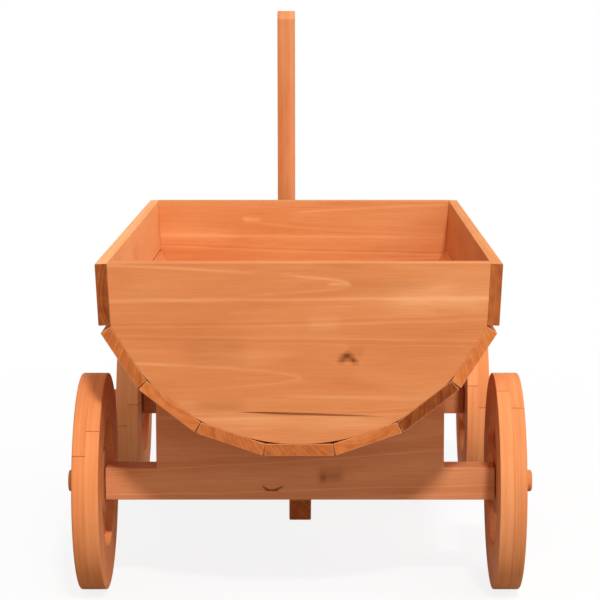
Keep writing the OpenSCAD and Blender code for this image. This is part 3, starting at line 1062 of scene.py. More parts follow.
class Finish(Enum):
    """Every finish on the wagon."""

    PANEL = FirFinish(
        "panel fir", "panel_wood", rings_show=0.16, bands_show=0.24, fibres_show=0.27, stain_shows=0.6
    )
    FRONT = FirFinish(
        "front panel fir", "panel_wood",
        deep=seen(187, 106, 56), body=seen(219, 138, 80), pale=seen(241, 171, 113),
        rings_show=0.2, bands_show=0.24,
    )
    SIDE = FirFinish(
        "side board fir", "side_wood",
        deep=seen(187, 106, 57), body=seen(220, 140, 82), pale=seen(243, 173, 117),
        rings_show=0.2,
    )
    # The staves' eased edges are painted much paler, mostly a painted highlight where their joints catch the
    # light
    STAVE = FirFinish("stave fir", "stave_wood", edge_wear_and_highlight_shows=0.4)
    # Lighter and less saturated than the other fir, partly as painted light for the fill that reaches the
    # bolsters and perch in the box's shade
    BEAM = FirFinish(
        "beam fir", "beam_wood", deep=seen(194, 112, 70), body=seen(226, 147, 97), pale=seen(246, 178, 128)
    )
    WHEEL = FirFinish(
        "wheel fir", "wheel_wood", rings_show=0.14, bands_show=0.22, fibres_show=0.27, stain_shows=0.75
    )
    HANDLE = FirFinish("handle fir", "handle_wood", rings_show=0.12, fibres_show=0.25)
    STEEL = ZincFinish("zinc steel", "steel")


class Bench:
    """Where pieces are finished: it knows the materials and the body that each node moves with."""

    def __init__(self, frame: dict) -> None:
        """Reads the bodies from the frame and makes the materials."""
        groups = frame["record"]["behaviour"]["bodies"]
        self.bodies = {node: body for body, nodes in groups.items() for node in nodes}
        self.materials = {finish: finish.value.material() for finish in Finish}

    def hand_over(
        self, piece: bpy.types.Object, node: str, finish: Finish, grain: Optional[Grain] = None
    ) -> None:
        """Dresses a piece and puts it in the place of a node.

        Args:
            piece: the piece, whose shape is done.
            node: the node that it stands for.
            finish: what it is finished with.
            grain: how its wood lies in the tree.
        """
        smooth(piece)
        piece.data.materials.clear()
        piece.data.materials.append(self.materials[finish])
        if grain:
            grain.dress(piece.data)
        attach(piece, self.bodies[node])
        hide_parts(node)
        LOG.info("%s: %d faces, on %s", piece.name, len(piece.data.polygons), self.bodies[node])


@dataclass
class Screws:
    """Countersunk screws that share a node.

    Each seat is the middle of a head's face and the way that its screw points.
    """

    node: str
    shank: float
    length: float
    seats: list[tuple[Vector, Vector]]
    # How far a head lies below the wood, the room round a screw in its hole, and the depth of its cross
    sink: float = 0.3 * MM
    room: float = 0.12 * MM
    recess: float = 1.3 * MM

    # A screw in radii of its shank: its head, its point, and the wings and blades of its cross
    HEAD_R = 2.0
    POINT_L = 2.0
    POINT_R = 0.2
    WING = 2.2
    BLADE = 0.5
    # Steps round its head and its shank
    HEAD_STEPS = 32
    SHANK_STEPS = 16
    # Shares near 1, with which its solids overlap and no two of their faces share a plane
    NARROW = 0.98
    TUCKED = 0.99
    LONG = 1.02

    def holes(self, into: Optional[bmesh.types.BMesh] = None) -> bmesh.types.BMesh:
        """The holes that the screws need, as solids to cut with."""
        mesh = into or bmesh.new()
        r = self.shank / 2
        head = self.HEAD_R * r + self.room
        profile = [
            (-OVER, 0.0),
            (-OVER, head),
            (self.sink, head),
            (self.sink + r, r + self.room),
            (self.length + self.sink + self.room, r + self.room),
            (self.length + self.sink + self.room, 0.0),
        ]
        for seat, aim in self.seats:
            turned(profile, axes(seat, aim, aim.orthogonal().normalized()), mesh, steps=HOLE_STEPS)
        return mesh

    def build(self, bench: Bench, tree: GeometryTree) -> None:
        """Makes the screws and hands them over.

        Args:
            bench: where they are finished.
            tree: the tree that makes a screw at each point.
        """
        mesh = bmesh.new()
        aims = mesh.verts.layers.float_vector.new("aim")
        for seat, aim in self.seats:
            mesh.verts.new(seat + aim * self.sink)[aims] = aim
        piece = new_piece(self.node + "_steel", mesh)
        tree.run(
            piece,
            shank_radius=self.shank / 2,
            length=self.length,
            recess=self.recess,
            seed=len(self.seats),
            material=bench.materials[Finish.STEEL],
        )
        bench.hand_over(piece, self.node, Finish.STEEL)

    @staticmethod
    def tree() -> GeometryTree:
        """The tree that puts a screw with a crossed recess at each point, turned by chance."""
        tree = GeometryTree("screws", shank_radius=float, length=float, recess=float, seed=int)
        shank, length = tree.size("shank_radius"), tree.size("length")
        point_length = shank * Screws.POINT_L
        head = tree.node(
            "GeometryNodeMeshCone", None,
            {
                "Vertices": Screws.HEAD_STEPS,
                "Radius Top": shank * Screws.NARROW,
                "Radius Bottom": shank * Screws.HEAD_R,
                "Depth": shank,
            },
        ).outputs["Mesh"]
        # The straight part starts halfway down the head
        start = shank * 0.5
        straight = length - point_length - start
        body = tree.node(
            "GeometryNodeMeshCylinder", None,
            {"Vertices": Screws.SHANK_STEPS, "Radius": shank, "Depth": straight},
        ).outputs["Mesh"]
        point = tree.node(
            "GeometryNodeMeshCone", None,
            {
                "Vertices": Screws.SHANK_STEPS,
                "Radius Top": shank * Screws.POINT_R,
                "Radius Bottom": shank * Screws.TUCKED,
                "Depth": point_length * Screws.LONG,
            },
        ).outputs["Mesh"]
        solids = [
            head,
            tree.moved(body, tree.vector(z=start + straight * 0.5)),
            tree.moved(point, tree.vector(z=length - point_length * Screws.LONG)),
        ]
        whole = tree.joined("UNION", {"Mesh 2": solids})
        wing, blade = shank * Screws.WING, shank * Screws.BLADE
        # The bars that cut the cross have their middle in the head's face
        deep = tree.size("recess") * 2.0
        cross = [
            tree.node("GeometryNodeMeshCube", None, {"Size": size}).outputs["Mesh"]
            for size in (tree.vector(wing, blade, deep), tree.vector(blade, wing, deep * Screws.NARROW))
        ]
        screw = tree.joined("DIFFERENCE", {"Mesh 1": whole, "Mesh 2": cross})
        aim = tree.node("GeometryNodeInputNamedAttribute", {"data_type": "FLOAT_VECTOR"}, {"Name": "aim"})
        aimed = {"Vector": aim.outputs["Attribute"]}
        stand = tree.node("FunctionNodeAlignRotationToVector", {"axis": "Z"}, aimed)
        chance = tree.node("FunctionNodeRandomValue", None, {"Max": 2 * math.pi, "Seed": tree.given["seed"]})
        spun = {"Axis": (0.0, 0.0, 1.0), "Angle": chance.outputs["Value"]}
        spin = tree.node("FunctionNodeAxisAngleToRotation", None, spun)
        turn = tree.node(
            "FunctionNodeRotateRotation", {"rotation_space": "LOCAL"},
            {"Rotation": stand.outputs["Rotation"], "Rotate By": spin.outputs["Rotation"]},
        )
        placed = tree.node(
            "GeometryNodeInstanceOnPoints", None,
            {"Points": tree.given["Geometry"], "Instance": screw, "Rotation": turn.outputs["Rotation"]},
        )
        tree.close(placed.outputs["Instances"])
        return tree


@dataclass
class Trough:
    """The half-barrel box: two end panels, two side boards, seven staves and their screws."""

    panel_r: float = 176.7 * MM
    # The shares of the corners between a panel's flats that are rounded off
    corner_round: float = 0.4
    low_corner_round: float = 0.9
    stave_pitch: float = math.radians(19)
    stave_bevel: float = math.radians(4.5)
    stave_half: int = 3
    top_trim: float = 2.5 * MM
    side_t: float = 10.5 * MM
    side_lean: float = math.radians(2.9)
    stave_screw_inset: float = 12.5 * MM
    side_screw_inset: float = 11.5 * MM
    screw_d: float = 3.5 * MM
    screw_l: float = 32 * MM
    corner_steps: int = 6
    panel_edge: float = 0.15 * MM
    board_edge: float = 0.6 * MM
    # The drying check in the rear panel: its ends, how far it bows up, and its width and depth
    check_from: Point = (-57 * MM, 186.4 * MM)
    check_to: Point = (76 * MM, 182.3 * MM)
    check_bow: float = 0.9 * MM
    check_w: float = 0.8 * MM
    check_deep: float = 1.4 * MM
    # Its steps, how fast it opens from each end, and the share of its width that the ends have
    check_steps: int = 16
    check_opens: tuple[float, float] = (6.0, 1.15)
    check_least: float = 0.05
    # The screws of the box, by node
    groups: dict[str, Screws] = field(default_factory=dict)

    def __post_init__(self) -> None:
        """Reads from the frame where the boards are."""
        rear_low, rear_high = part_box("rear_end_panel")
        _, front_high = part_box("front_end_panel")
        stave_low, stave_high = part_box("stave_bottom")
        side_low, side_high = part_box("right_side_board")
        self.ends = (rear_low.y, front_high.y)
        self.panel_t = rear_high.y - rear_low.y
        self.rim = (rear_high.x, rear_high.z)
        self.arc_z = rear_low.z + self.panel_r
        self.stave_r = self.arc_z - stave_low.z
        self.stave_t = stave_high.z - stave_low.z
        self.stave_w = stave_high.x - stave_low.x - 2 * self.stave_t * math.tan(self.stave_bevel)
        self.side_foot = (side_low.x, side_low.z + self.side_t * math.sin(self.side_lean))
        self.side_h = (side_high.z - self.side_foot[1]) / math.cos(self.side_lean)
        beams = [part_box(name) for name in ("rear_bolster", "front_bolster")]
        self.axles = [low.lerp(high, 0.5).y for low, high in beams]
        self._seat_screws()

    def stave_place(self, number: int) -> Matrix:
        """The frame of a stave: along it, across it and out of its outer face.

        Args:
            number: the stave, counted from the bottom one to the right.

        Returns:
            The frame, whose origin is on the middle line of the outer face.
        """
        angle = number * self.stave_pitch
        across = Vector((math.cos(angle), 0.0, math.sin(angle)))
        out = Vector((math.sin(angle), 0.0, -math.cos(angle)))
        return axes(Vector((0.0, 0.0, self.arc_z)) + out * self.stave_r, -AXIS_Y, -across)

    def side_place(self, side: Side) -> Matrix:
        """The frame of a side board: along it, up it and out of its outer face.

        Args:
            side: which of the two boards it is.

        Returns:
            The frame, whose origin is on the outer edge of the board's foot.
        """
        sign = side.value
        up = Vector((sign * math.sin(self.side_lean), 0.0, math.cos(self.side_lean)))
        out = Vector((sign * math.cos(self.side_lean), 0.0, -math.sin(self.side_lean)))
        foot = Vector((sign * self.side_foot[0], 0.0, self.side_foot[1]))
        return axes(foot + out * self.side_t, sign * AXIS_Y, up)

    def _seat_screws(self) -> None:
        """Works out where each screw sits."""
        middles = (self.ends[0] + self.panel_t / 2, self.ends[1] - self.panel_t / 2)
        for name, y in zip(("rear_screws", "front_screws"), middles):
            seats = []
            for number in range(-self.stave_half, self.stave_half + 1):
                place = self.stave_place(number)
                for across in (-1, 1):
                    offset = across * (self.stave_w / 2 - self.stave_screw_inset)
                    seats.append(self._seat(place, y, offset))
            for side in Side:
                for up in (self.side_screw_inset, self.side_h - self.side_screw_inset):
                    seats.append(self._seat(self.side_place(side), y, up))
            self.groups[name] = Screws(name, self.screw_d, self.screw_l, seats)
        seats = []
        for y in self.axles:
            for number in (-1, 0, 1):
                face, inward = self._seat(self.stave_place(number), y, 0.0)
                seats.append((face + inward * self.stave_t, -inward))
        self.groups["saddle_screws"] = Screws("saddle_screws", self.screw_d, self.screw_l, seats)

    @staticmethod
    def _seat(place: Matrix, y: float, across: float) -> tuple[Vector, Vector]:
        """A place on a board's outer face at y, and the way into the board."""
        along = place.to_3x3().col[0]
        return place @ Vector((y * along.y, across, 0.0)), -place.to_3x3().col[2]

    def build(self, bench: Bench, screw_tree: GeometryTree) -> None:
        """Makes every board and screw of the box.

        Args:
            bench: where they are finished.
            screw_tree: the tree that makes screws.
        """
        self._panels(bench)
        self._side_boards(bench)
        self._staves(bench)
        for group in self.groups.values():
            group.build(bench, screw_tree)

    def _panel_outline(self) -> list[Point]:
        """The outline of an end panel in X and Z: leaning sides, and flats with rounded corners below."""
        rim_x, rim_z = self.rim
        lean_x, lean_z = math.sin(self.side_lean), math.cos(self.side_lean)
        # The highest flat runs up to where the side meets it
        top = self.stave_half * self.stave_pitch
        reach = self.panel_r - rim_x * math.sin(top) + (rim_z - self.arc_z) * math.cos(top)
        run = reach / (lean_z * math.cos(top) - lean_x * math.sin(top))
        foot_x, foot_z = rim_x - run * lean_x, rim_z - run * lean_z
        corner_h = self.panel_r / math.cos(self.stave_pitch / 2) - self.panel_r
        corners = []
        for number in range(2 * self.stave_half):
            corner = self.stave_half - 0.5 - number
            share = self.low_corner_round if abs(corner) < 1 else self.corner_round
            r = self.panel_r + (1 - share) * corner_h
            spread = self.stave_pitch / 2 - math.acos(self.panel_r / r)
            for step in range(self.corner_steps + 1):
                angle = corner * self.stave_pitch + spread * (1 - 2 * step / self.corner_steps)
                corners.append((r * math.sin(angle), self.arc_z - r * math.cos(angle)))
        return [(-rim_x, rim_z), (rim_x, rim_z), (foot_x, foot_z), *corners, (-foot_x, foot_z)]

    def _panels(self, bench: Bench) -> None:
        """Makes the two end panels, which are sawn from the same plank and so mirror each other's figure."""
        for node, y, mirror in (("rear_end_panel", self.ends[0], 1), ("front_end_panel", self.ends[1], -1)):
            place = axes(Vector((0.0, y, 0.0)), mirror * AXIS_X, AXIS_Z)
            mesh = prism(self._panel_outline(), -self.panel_t, 0.0, place)
            ease(mesh, self.panel_edge)
            piece = new_piece(node + "_wood", mesh)
            rear = node == "rear_end_panel"
            holes = self.groups["rear_screws" if rear else "front_screws"].holes()
            if rear:
                self._check_cutter(y, holes)
            cut(piece, holes)
            if rear:
                bench.hand_over(piece, node, Finish.PANEL, self._rear_grain())
            else:
                bench.hand_over(piece, node, Finish.FRONT, self._front_grain())

    def _rear_grain(self) -> Grain:
        """The figure of the rear panel's outer face: two hearts, a knot, pale streaks and a check."""
        place = axes(Vector((0.0, self.ends[0], 0.0)), AXIS_X, AXIS_Z)
        hearts = (Heart(37 * MM, 298.5 * MM, 40 * MM, 0.016), Heart(0.0, 216.5 * MM, 40 * MM, 0.0142))
        knots = (
            Mark(39.2 * MM, 234.0 * MM, 3.9 * MM, 2.9 * MM, 0.45),
            Mark(45.9 * MM, 233.2 * MM, 3.7 * MM, 2.7 * MM, -0.55),
            Mark(41.6 * MM, 235.7 * MM, 4.0 * MM, 2.8 * MM),
        )
        span = self.check_to[0] - self.check_from[0]
        slope = (self.check_to[1] - self.check_from[1]) / span
        middle = [(a + b) / 2 for a, b in zip(self.check_from, self.check_to)]
        pale = (
            Mark(40 * MM, 285.5 * MM, 300 * MM, 1.7 * MM, 0.008, 0.85),
            Mark(10 * MM, middle[1] - 7 * MM, 110 * MM, 6 * MM, slope, 0.6),
            Mark(50 * MM, 199.5 * MM, 75 * MM, 1.5 * MM, -0.02, 0.5),
            Mark(34 * MM, 298.2 * MM, 11 * MM, 1.7 * MM, 0.0, 0.9),
            Mark(130 * MM, 285 * MM, 60 * MM, 11 * MM, 0.0, 0.8),
            Mark(21 * MM, 263 * MM, 17 * MM, 7 * MM, 0.0, 0.45),
        )
        dark = (
            Mark(middle[0], middle[1], span / 2, 0.8 * MM, slope, 0.8),
            Mark(49 * MM, 240.5 * MM, 9 * MM, 5 * MM, 0.0, 0.16),
            Mark(75 * MM, 298 * MM, 50 * MM, 6 * MM, 0.0, 0.1),
            Mark(-73 * MM, 240 * MM, 34 * MM, 10 * MM, 0.0, 0.14),
            Mark(-68 * MM, 192.5 * MM, 27 * MM, 5 * MM, 0.0, 0.18),
        )
        return Grain(place, hearts, knots, pale, dark, seed=2.0)

    def _front_grain(self) -> Grain:
        """The figure of the front panel's inner face, which was next to the rear panel's in the plank."""
        place = axes(Vector((0.0, self.ends[1] - self.panel_t, 0.0)), AXIS_X, AXIS_Z)
        hearts = (Heart(-64 * MM, 295.6 * MM, 40 * MM, -0.016), Heart(-27 * MM, 212 * MM, 40 * MM, -0.0142))
        knots = (Mark(-65 * MM, 230 * MM, 4.8 * MM, 3.4 * MM, -0.2),)
        pale = (
            Mark(-67 * MM, 277 * MM, 300 * MM, 1.7 * MM, -0.008, 0.85),
            Mark(-37 * MM, 172 * MM, 100 * MM, 6 * MM, 0.0, 0.6),
            Mark(-59 * MM, 295.4 * MM, 12 * MM, 2.4 * MM, 0.0, 0.9),
            Mark(-130 * MM, 279 * MM, 60 * MM, 9 * MM, 0.0, 0.6),
        )
        return Grain(place, hearts, knots, pale, tone=0.95, bleach=0.16, seed=2.0)

    def _check_cutter(self, y: float, into: bmesh.types.BMesh) -> None:
        """Adds the thin curved blade that opens the drying check in the rear panel's face."""
        edges = ([], [])
        for step in range(self.check_steps + 1):
            share = step / self.check_steps
            arch = 4 * share * (1 - share)
            x = self.check_from[0] + share * (self.check_to[0] - self.check_from[0])
            z = self.check_from[1] + share * (self.check_to[1] - self.check_from[1]) + self.check_bow * arch
            opened = min(self.check_opens[0] * share, self.check_opens[1] * (1 - share))
            half = self.check_w / 2 * max(opened, self.check_least)
            edges[0].append((x, z - half))
            edges[1].append((x, z + half))
        place = axes(Vector((0.0, y, 0.0)), AXIS_X, AXIS_Z)
        prism(edges[0] + edges[1][::-1], -self.check_deep, OVER, place, into)

    def _side_boards(self, bench: Bench) -> None:
        """Makes the two leaning side boards."""
        for side, tone, end_tone, bleach in ((Side.LEFT, 1.12, 0.42, 0.3), (Side.RIGHT, 1.0, 0.74, 0.04)):
            node = f"{side.name.lower()}_side_board"
            place = self.side_place(side)
            near, far = sorted(side.value * y for y in self.ends)
            outline = [(near, 0.0), (far, 0.0), (far, self.side_h), (near, self.side_h)]
            mesh = prism(outline, -self.side_t, 0.0, place)
            ease(mesh, self.board_edge)
            piece = new_piece(node + "_wood", mesh)
            cut(piece, self.groups["front_screws"].holes(self.groups["rear_screws"].holes()))
            heart = Heart(0.1, self.side_h / 2, 70 * MM, 0.006)
            grain = Grain(
                place, (heart,), tone=tone, end_tone=end_tone, bleach=bleach, seed=5.0 + side.value
            )
            bench.hand_over(piece, node, Finish.SIDE, grain)

    def _stave_section(self, number: int) -> list[Point]:
        """The section of a stave, across it and out of its face: bevelled joints and planed top edges."""
        reaches = []
        for side in (-1, 1):
            planed = -side * number == self.stave_half
            inner = self.stave_w / 2 - (self.top_trim if planed else 0.0)
            outer = inner + (0.0 if planed else self.stave_t * math.tan(self.stave_bevel))
            reaches.append((side * inner, side * outer))
        (low_in, low_out), (high_in, high_out) = reaches
        return [(low_in, -self.stave_t), (low_out, 0.0), (high_out, 0.0), (high_in, -self.stave_t)]

    def _staves(self, bench: Bench) -> None:
        """Makes the seven staves."""
        # The tone of each one's sawn ends, from the highest on the left to the highest on the right
        end_tones = {-3: 0.95, -2: 1.16, -1: 0.98, 0: 0.9, 1: 1.09, 2: 0.38, 3: 1.22}
        for number, end_tone in end_tones.items():
            hand = "left" if number < 0 else "right"
            node = f"stave_{hand}_{abs(number)}" if number else "stave_bottom"
            place = self.stave_place(number)
            turn = place.to_3x3()
            near, far = sorted(-y for y in self.ends)
            across_place = axes(place.translation, turn.col[1], turn.col[2])
            mesh = prism(self._stave_section(number), near, far, across_place)
            ease(mesh, self.board_edge)
            piece = new_piece(node + "_wood", mesh)
            holes = bmesh.new()
            for group in self.groups.values():
                group.holes(holes)
            cut(piece, holes)
            sawn = Cut.FLAT if number % 3 == 1 else Cut.RIFT
            slope = vary(number, 0.012, 0.03)
            heart = sawn.heart(vary(number, -0.25, 0.25), slope, -1 if number <= 0 else 1)
            tone = vary(number + 9, 0.94, 1.05)
            grain = Grain(place, (heart,), tone=tone, end_tone=end_tone, seed=11.0 + number)
            bench.hand_over(piece, node, Finish.STAVE, grain)


@dataclass
class Undercarriage:
    """The two bolsters, the perch under them and the perch's screws."""

    trough: Trough
    beam_s: float = 30 * MM
    saddle_w: float = 264.6 * MM
    saddle_r: float = 187.4 * MM
    peg_hole_d: float = 20.1 * MM
    peg_deep: float = 60 * MM
    bolt_hole_d: float = 6.1 * MM
    screw_d: float = 5 * MM
    screw_l: float = 38 * MM
    screw_pitch: float = 14 * MM
    edge: float = 1.1 * MM

    def __post_init__(self) -> None:
        """Reads from the frame where the perch is, and seats its screws."""
        self.perch_low, self.perch_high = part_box("perch")
        seats = [
            (Vector((0.0, y + dy * self.screw_pitch / 2, self.perch_low.z)), AXIS_Z.copy())
            for y in self.trough.axles
            for dy in (-1, 1)
        ]
        self.screws = Screws("perch_screws", self.screw_d, self.screw_l, seats)

    def build(self, bench: Bench, screw_tree: GeometryTree) -> None:
        """Makes the bolsters, the perch and its screws.

        Args:
            bench: where they are finished.
            screw_tree: the tree that makes screws.
        """
        for end, tone in (("rear", 1.03), ("front", 0.95)):
            self._bolster(bench, f"{end}_bolster", tone)
        self._perch(bench)
        self.screws.build(bench, screw_tree)

    def _bolster_outline(self, low: Vector, high: Vector) -> list[Point]:
        """The outline of a bolster in X and Z: the beam, and the saddle cut to the staves above it."""
        beam_top = low.z + self.beam_s
        half = self.saddle_w / 2
        corner_r = self.saddle_r / math.cos(self.trough.stave_pitch / 2)
        angles = [(number + 0.5) * self.trough.stave_pitch for number in (1, 0, -1, -2)]
        seat = [(corner_r * math.sin(a), self.trough.arc_z - corner_r * math.cos(a)) for a in angles]
        return [
            (low.x, low.z), (high.x, low.z), (high.x, beam_top), (half, beam_top), (half, high.z),
            *seat,
            (-half, high.z), (-half, beam_top), (low.x, beam_top),
        ]

    def _bolster(self, bench: Bench, node: str, tone: float) -> None:
        """Makes one bolster."""
        low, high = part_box(node)
        place = axes(Vector((0.0, low.y, 0.0)), AXIS_X, AXIS_Z)
        mesh = prism(self._bolster_outline(low, high), low.y - high.y, 0.0, place)
        ease(mesh, self.edge)
        piece = new_piece(node + "_wood", mesh)
        holes = self.screws.holes(self.trough.groups["saddle_screws"].holes())
        middle = (low + high) / 2
        axle_z = low.z + self.beam_s / 2
        for side in Side:
            inner = Vector((side.value * (high.x - self.peg_deep), middle.y, axle_z))
            hole = rod(0.0, 2 * self.peg_deep, self.peg_hole_d / 2)
            turned(hole, axes(inner, side.value * AXIS_X, AXIS_Z), holes)
        cut(piece, holes)
        # The lower edge of one knot, and another knot that is only a smudge with a darker end
        dark = (
            Mark(-31.4 * MM, 95.8 * MM, 4.2 * MM, 1.0 * MM, -0.5, 0.85),
            Mark(-26.2 * MM, 94.2 * MM, 8.0 * MM, 1.0 * MM, 0.0, 0.85),
            Mark(-20.2 * MM, 95.8 * MM, 5.6 * MM, 1.0 * MM, 0.4, 0.85),
            Mark(28.0 * MM, 107.0 * MM, 15 * MM, 6.5 * MM, 0.0, 0.36),
            Mark(21.0 * MM, 105.5 * MM, 4.0 * MM, 5.0 * MM, 0.0, 0.4),
        )
        hearts = (Heart(-60 * MM, 150 * MM, 60 * MM, 0.02), Heart(90 * MM, 70 * MM, 50 * MM, -0.02))
        marks = dark if node == "rear_bolster" else ()
        grain = Grain(place, hearts, dark=marks, tone=tone, seed=23.0 + low.y)
        bench.hand_over(piece, node, Finish.BEAM, grain)

    def _perch(self, bench: Bench) -> None:
        """Makes the bar under both beams."""
        low, high = self.perch_low, self.perch_high
        place = axes(Vector((0.0, 0.0, low.z)), AXIS_Y, -AXIS_X)
        outline = [(low.y, low.x), (high.y, low.x), (high.y, high.x), (low.y, high.x)]
        mesh = prism(outline, low.z - high.z, 0.0, axes(Vector((0.0, 0.0, low.z)), AXIS_Y, AXIS_X))
        ease(mesh, self.edge)
        piece = new_piece("perch_wood", mesh)
        holes = self.screws.holes()
        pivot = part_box("pivot_nut")[0].lerp(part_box("pivot_nut")[1], 0.5)
        reach = high.x + OVER
        bore = rod(-reach, reach, self.bolt_hole_d / 2)
        turned(bore, axes(Vector((0.0, pivot.y, pivot.z)), AXIS_X, AXIS_Z), holes)
        cut(piece, holes)
        grain = Grain(place, (Cut.RIFT.heart(0.05, 0.015),), tone=0.92, end_tone=0.48, seed=31.0)
        bench.hand_over(piece, "perch", Finish.BEAM, grain)


@dataclass
class Wheel:
    """A wheel and its axle: two plies of rim segments, spokes, a hub, a peg, a washer and a linchpin."""

    corner: str
    side: Side
    # The angle above the rear horizontal of the inner ply's first seam
    seam: float
    tone: float = 1.0
    bleach: float = 0.0
    # How far the outer ply's seams lie below the inner ply's
    stagger: float = math.radians(13.5)
    rim_depth: float = 40 * MM
    segments: int = 2
    seam_gap: float = 0.15 * MM
    # How far the stain that gathers at a seam reaches, and how strongly it shows
    seam_stain: float = 0.8 * MM
    seam_shade: float = 0.28
    inner_edge: float = 0.9 * MM
    outer_edge: float = 1.8 * MM
    glued_edge: float = 0.12 * MM
    seam_edge: float = 0.06 * MM
    hub_edge: float = 2 * MM
    hub_edge_steps: int = 4
    bore_d: float = 20.16 * MM
    spokes: int = 6
    spoke_w: float = 16 * MM
    spoke_t: float = 12 * MM
    spoke_edge: float = 1.6 * MM
    hub_socket: float = 8 * MM
    rim_socket: float = 10 * MM
    socket_room: float = 0.1 * MM
    pin_hole_d: float = 5.1 * MM
    # How far the end of a peg is eased at its faces, and at the corner between the two chamfers
    peg_edge: float = 1.6 * MM
    peg_corner: float = 0.48 * MM
    metal_edge: float = 0.35 * MM

    def __post_init__(self) -> None:
        """Reads from the frame where the wheel is."""
        low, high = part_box(f"{self.corner}_inner_felloes")
        hub_low, hub_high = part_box(f"{self.corner}_hub")
        self.centre = (hub_low + hub_high) / 2
        self.tread_r = (high.z - low.z) / 2
        self.rim_r = self.tread_r - self.rim_depth
        self.hub_r = (hub_high.z - hub_low.z) / 2
        self.hub_t = hub_high.x - hub_low.x
        self.ply_t = high.x - low.x
        # The wheel's own frame: the first two axes in its plane, and the axle as the third
        self.place = axes(self.centre, -AXIS_Z, AXIS_Y)

    def node(self, piece: str) -> str:
        """The name of a piece's node."""
        return f"{self.corner}_{piece}"

    @staticmethod
    def plane_angle(above_rear: float) -> float:
        """An angle above the rear horizontal, as it is counted in the wheel's own frame."""
        return -math.pi / 2 - above_rear

    @property
    def first_spoke(self) -> float:
        """The angle of the first spoke, half a pitch past the middle of the first seams of both plies."""
        return self.seam - self.stagger / 2 + math.pi / self.spokes

    def build(self, bench: Bench, rim_tree: GeometryTree, spoke_tree: GeometryTree) -> None:
        """Makes every piece of the wheel and its axle.

        Args:
            bench: where they are finished.
            rim_tree: the tree that makes the segments of a ply.
            spoke_tree: the tree that makes the spokes.
        """
        self._ply(bench, rim_tree, "inner_felloes", self.seam, 1)
        self._ply(bench, rim_tree, "outer_felloes", self.seam - self.stagger, 2)
        self._spokes(bench, spoke_tree)
        self._hub(bench)
        self._axle(bench)

    @staticmethod
    def rim_tree() -> GeometryTree:
        """The tree that sweeps a rounded section along each segment of a ply."""
        tree = GeometryTree(
            "rim segments",
            tread_radius=float, rim_depth=float, ply=float, count=int, first=float, gap=float,
            edge=float, glued_edge=float, facing=float, centre=Vector,
        )
        middle = tree.size("tread_radius") - tree.size("rim_depth") * 0.5
        count = tree.size("count")
        loss = tree.size("gap") / middle
        arc = tree.node("GeometryNodeCurveArc", None, {"Resolution": RIM_POINTS}).outputs["Curve"]
        # The first and last steps are tiny, so that the ends are square to the arc
        index = Value(tree, tree.node("GeometryNodeInputIndex").outputs["Index"])
        last = RIM_POINTS - 1
        share = tree.math("MINIMUM", tree.math("MAXIMUM", (index - 1.0) / (last - 2.0), 0.0), 1.0)
        ends = tree.math("GREATER_THAN", index, last - 0.5) - tree.math("LESS_THAN", index, 0.5)
        sweep = 2 * math.pi / count - loss - 2 * RIM_END
        angle = loss * 0.5 + RIM_END + sweep * share + RIM_END * ends
        spot = tree.vector(middle * tree.math("COSINE", angle), middle * tree.math("SINE", angle))
        inputs = {"Geometry": arc, "Position": spot}
        arc = tree.node("GeometryNodeSetPosition", None, inputs).outputs["Geometry"]
        position = tree.node("GeometryNodeInputPosition").outputs["Position"]
        height = Value(tree, tree.node("ShaderNodeSeparateXYZ", None, {"Vector": position}).outputs["Y"])
        shown = tree.math("GREATER_THAN", height * tree.size("facing"), 0.0)
        glued = tree.size("glued_edge")
        edge = glued + (tree.size("edge") - glued) * shown
        segment = tree.bar(arc, tree.size("rim_depth"), tree.size("ply"), edge)
        ring = tree.round_axle(count, tree.size("first"), segment)
        tree.close(tree.moved(ring, tree.given["centre"], AXLE_TURN))
        return tree

    @staticmethod
    def spoke_tree() -> GeometryTree:
        """The tree that puts rounded bars round an axle."""
        tree = GeometryTree(
            "spokes",
            inner=float, outer=float, width=float, thickness=float, count=int, first=float,
            edge=float, centre=Vector,
        )
        ends = {"Start": tree.vector(x=tree.size("inner")), "End": tree.vector(x=tree.size("outer"))}
        line = tree.node("GeometryNodeCurvePrimitiveLine", None, ends).outputs["Curve"]
        spoke = tree.bar(line, tree.size("width"), tree.size("thickness"), tree.size("edge"))
        ring = tree.round_axle(tree.size("count"), tree.size("first"), spoke)
        tree.close(tree.moved(ring, tree.given["centre"], AXLE_TURN))
        return tree

    def _sockets(self) -> bmesh.types.BMesh:
        """The sockets that the spokes are let into, as solids to cut with."""
        mesh = bmesh.new()
        room = self.socket_room
        inner = self.hub_r - self.hub_socket - room
        outer = self.rim_r + self.rim_socket + room
        half = self.spoke_w / 2 + room
        outline = [(inner, -half), (outer, -half), (outer, half), (inner, half)]
        for number in range(self.spokes):
            angle = self.plane_angle(self.first_spoke) + number * 2 * math.pi / self.spokes
            turn = Matrix.Rotation(angle, 4, "Z")
            prism(outline, -self.spoke_t / 2 - room, self.spoke_t / 2 + room, self.place @ turn, mesh)
        return mesh

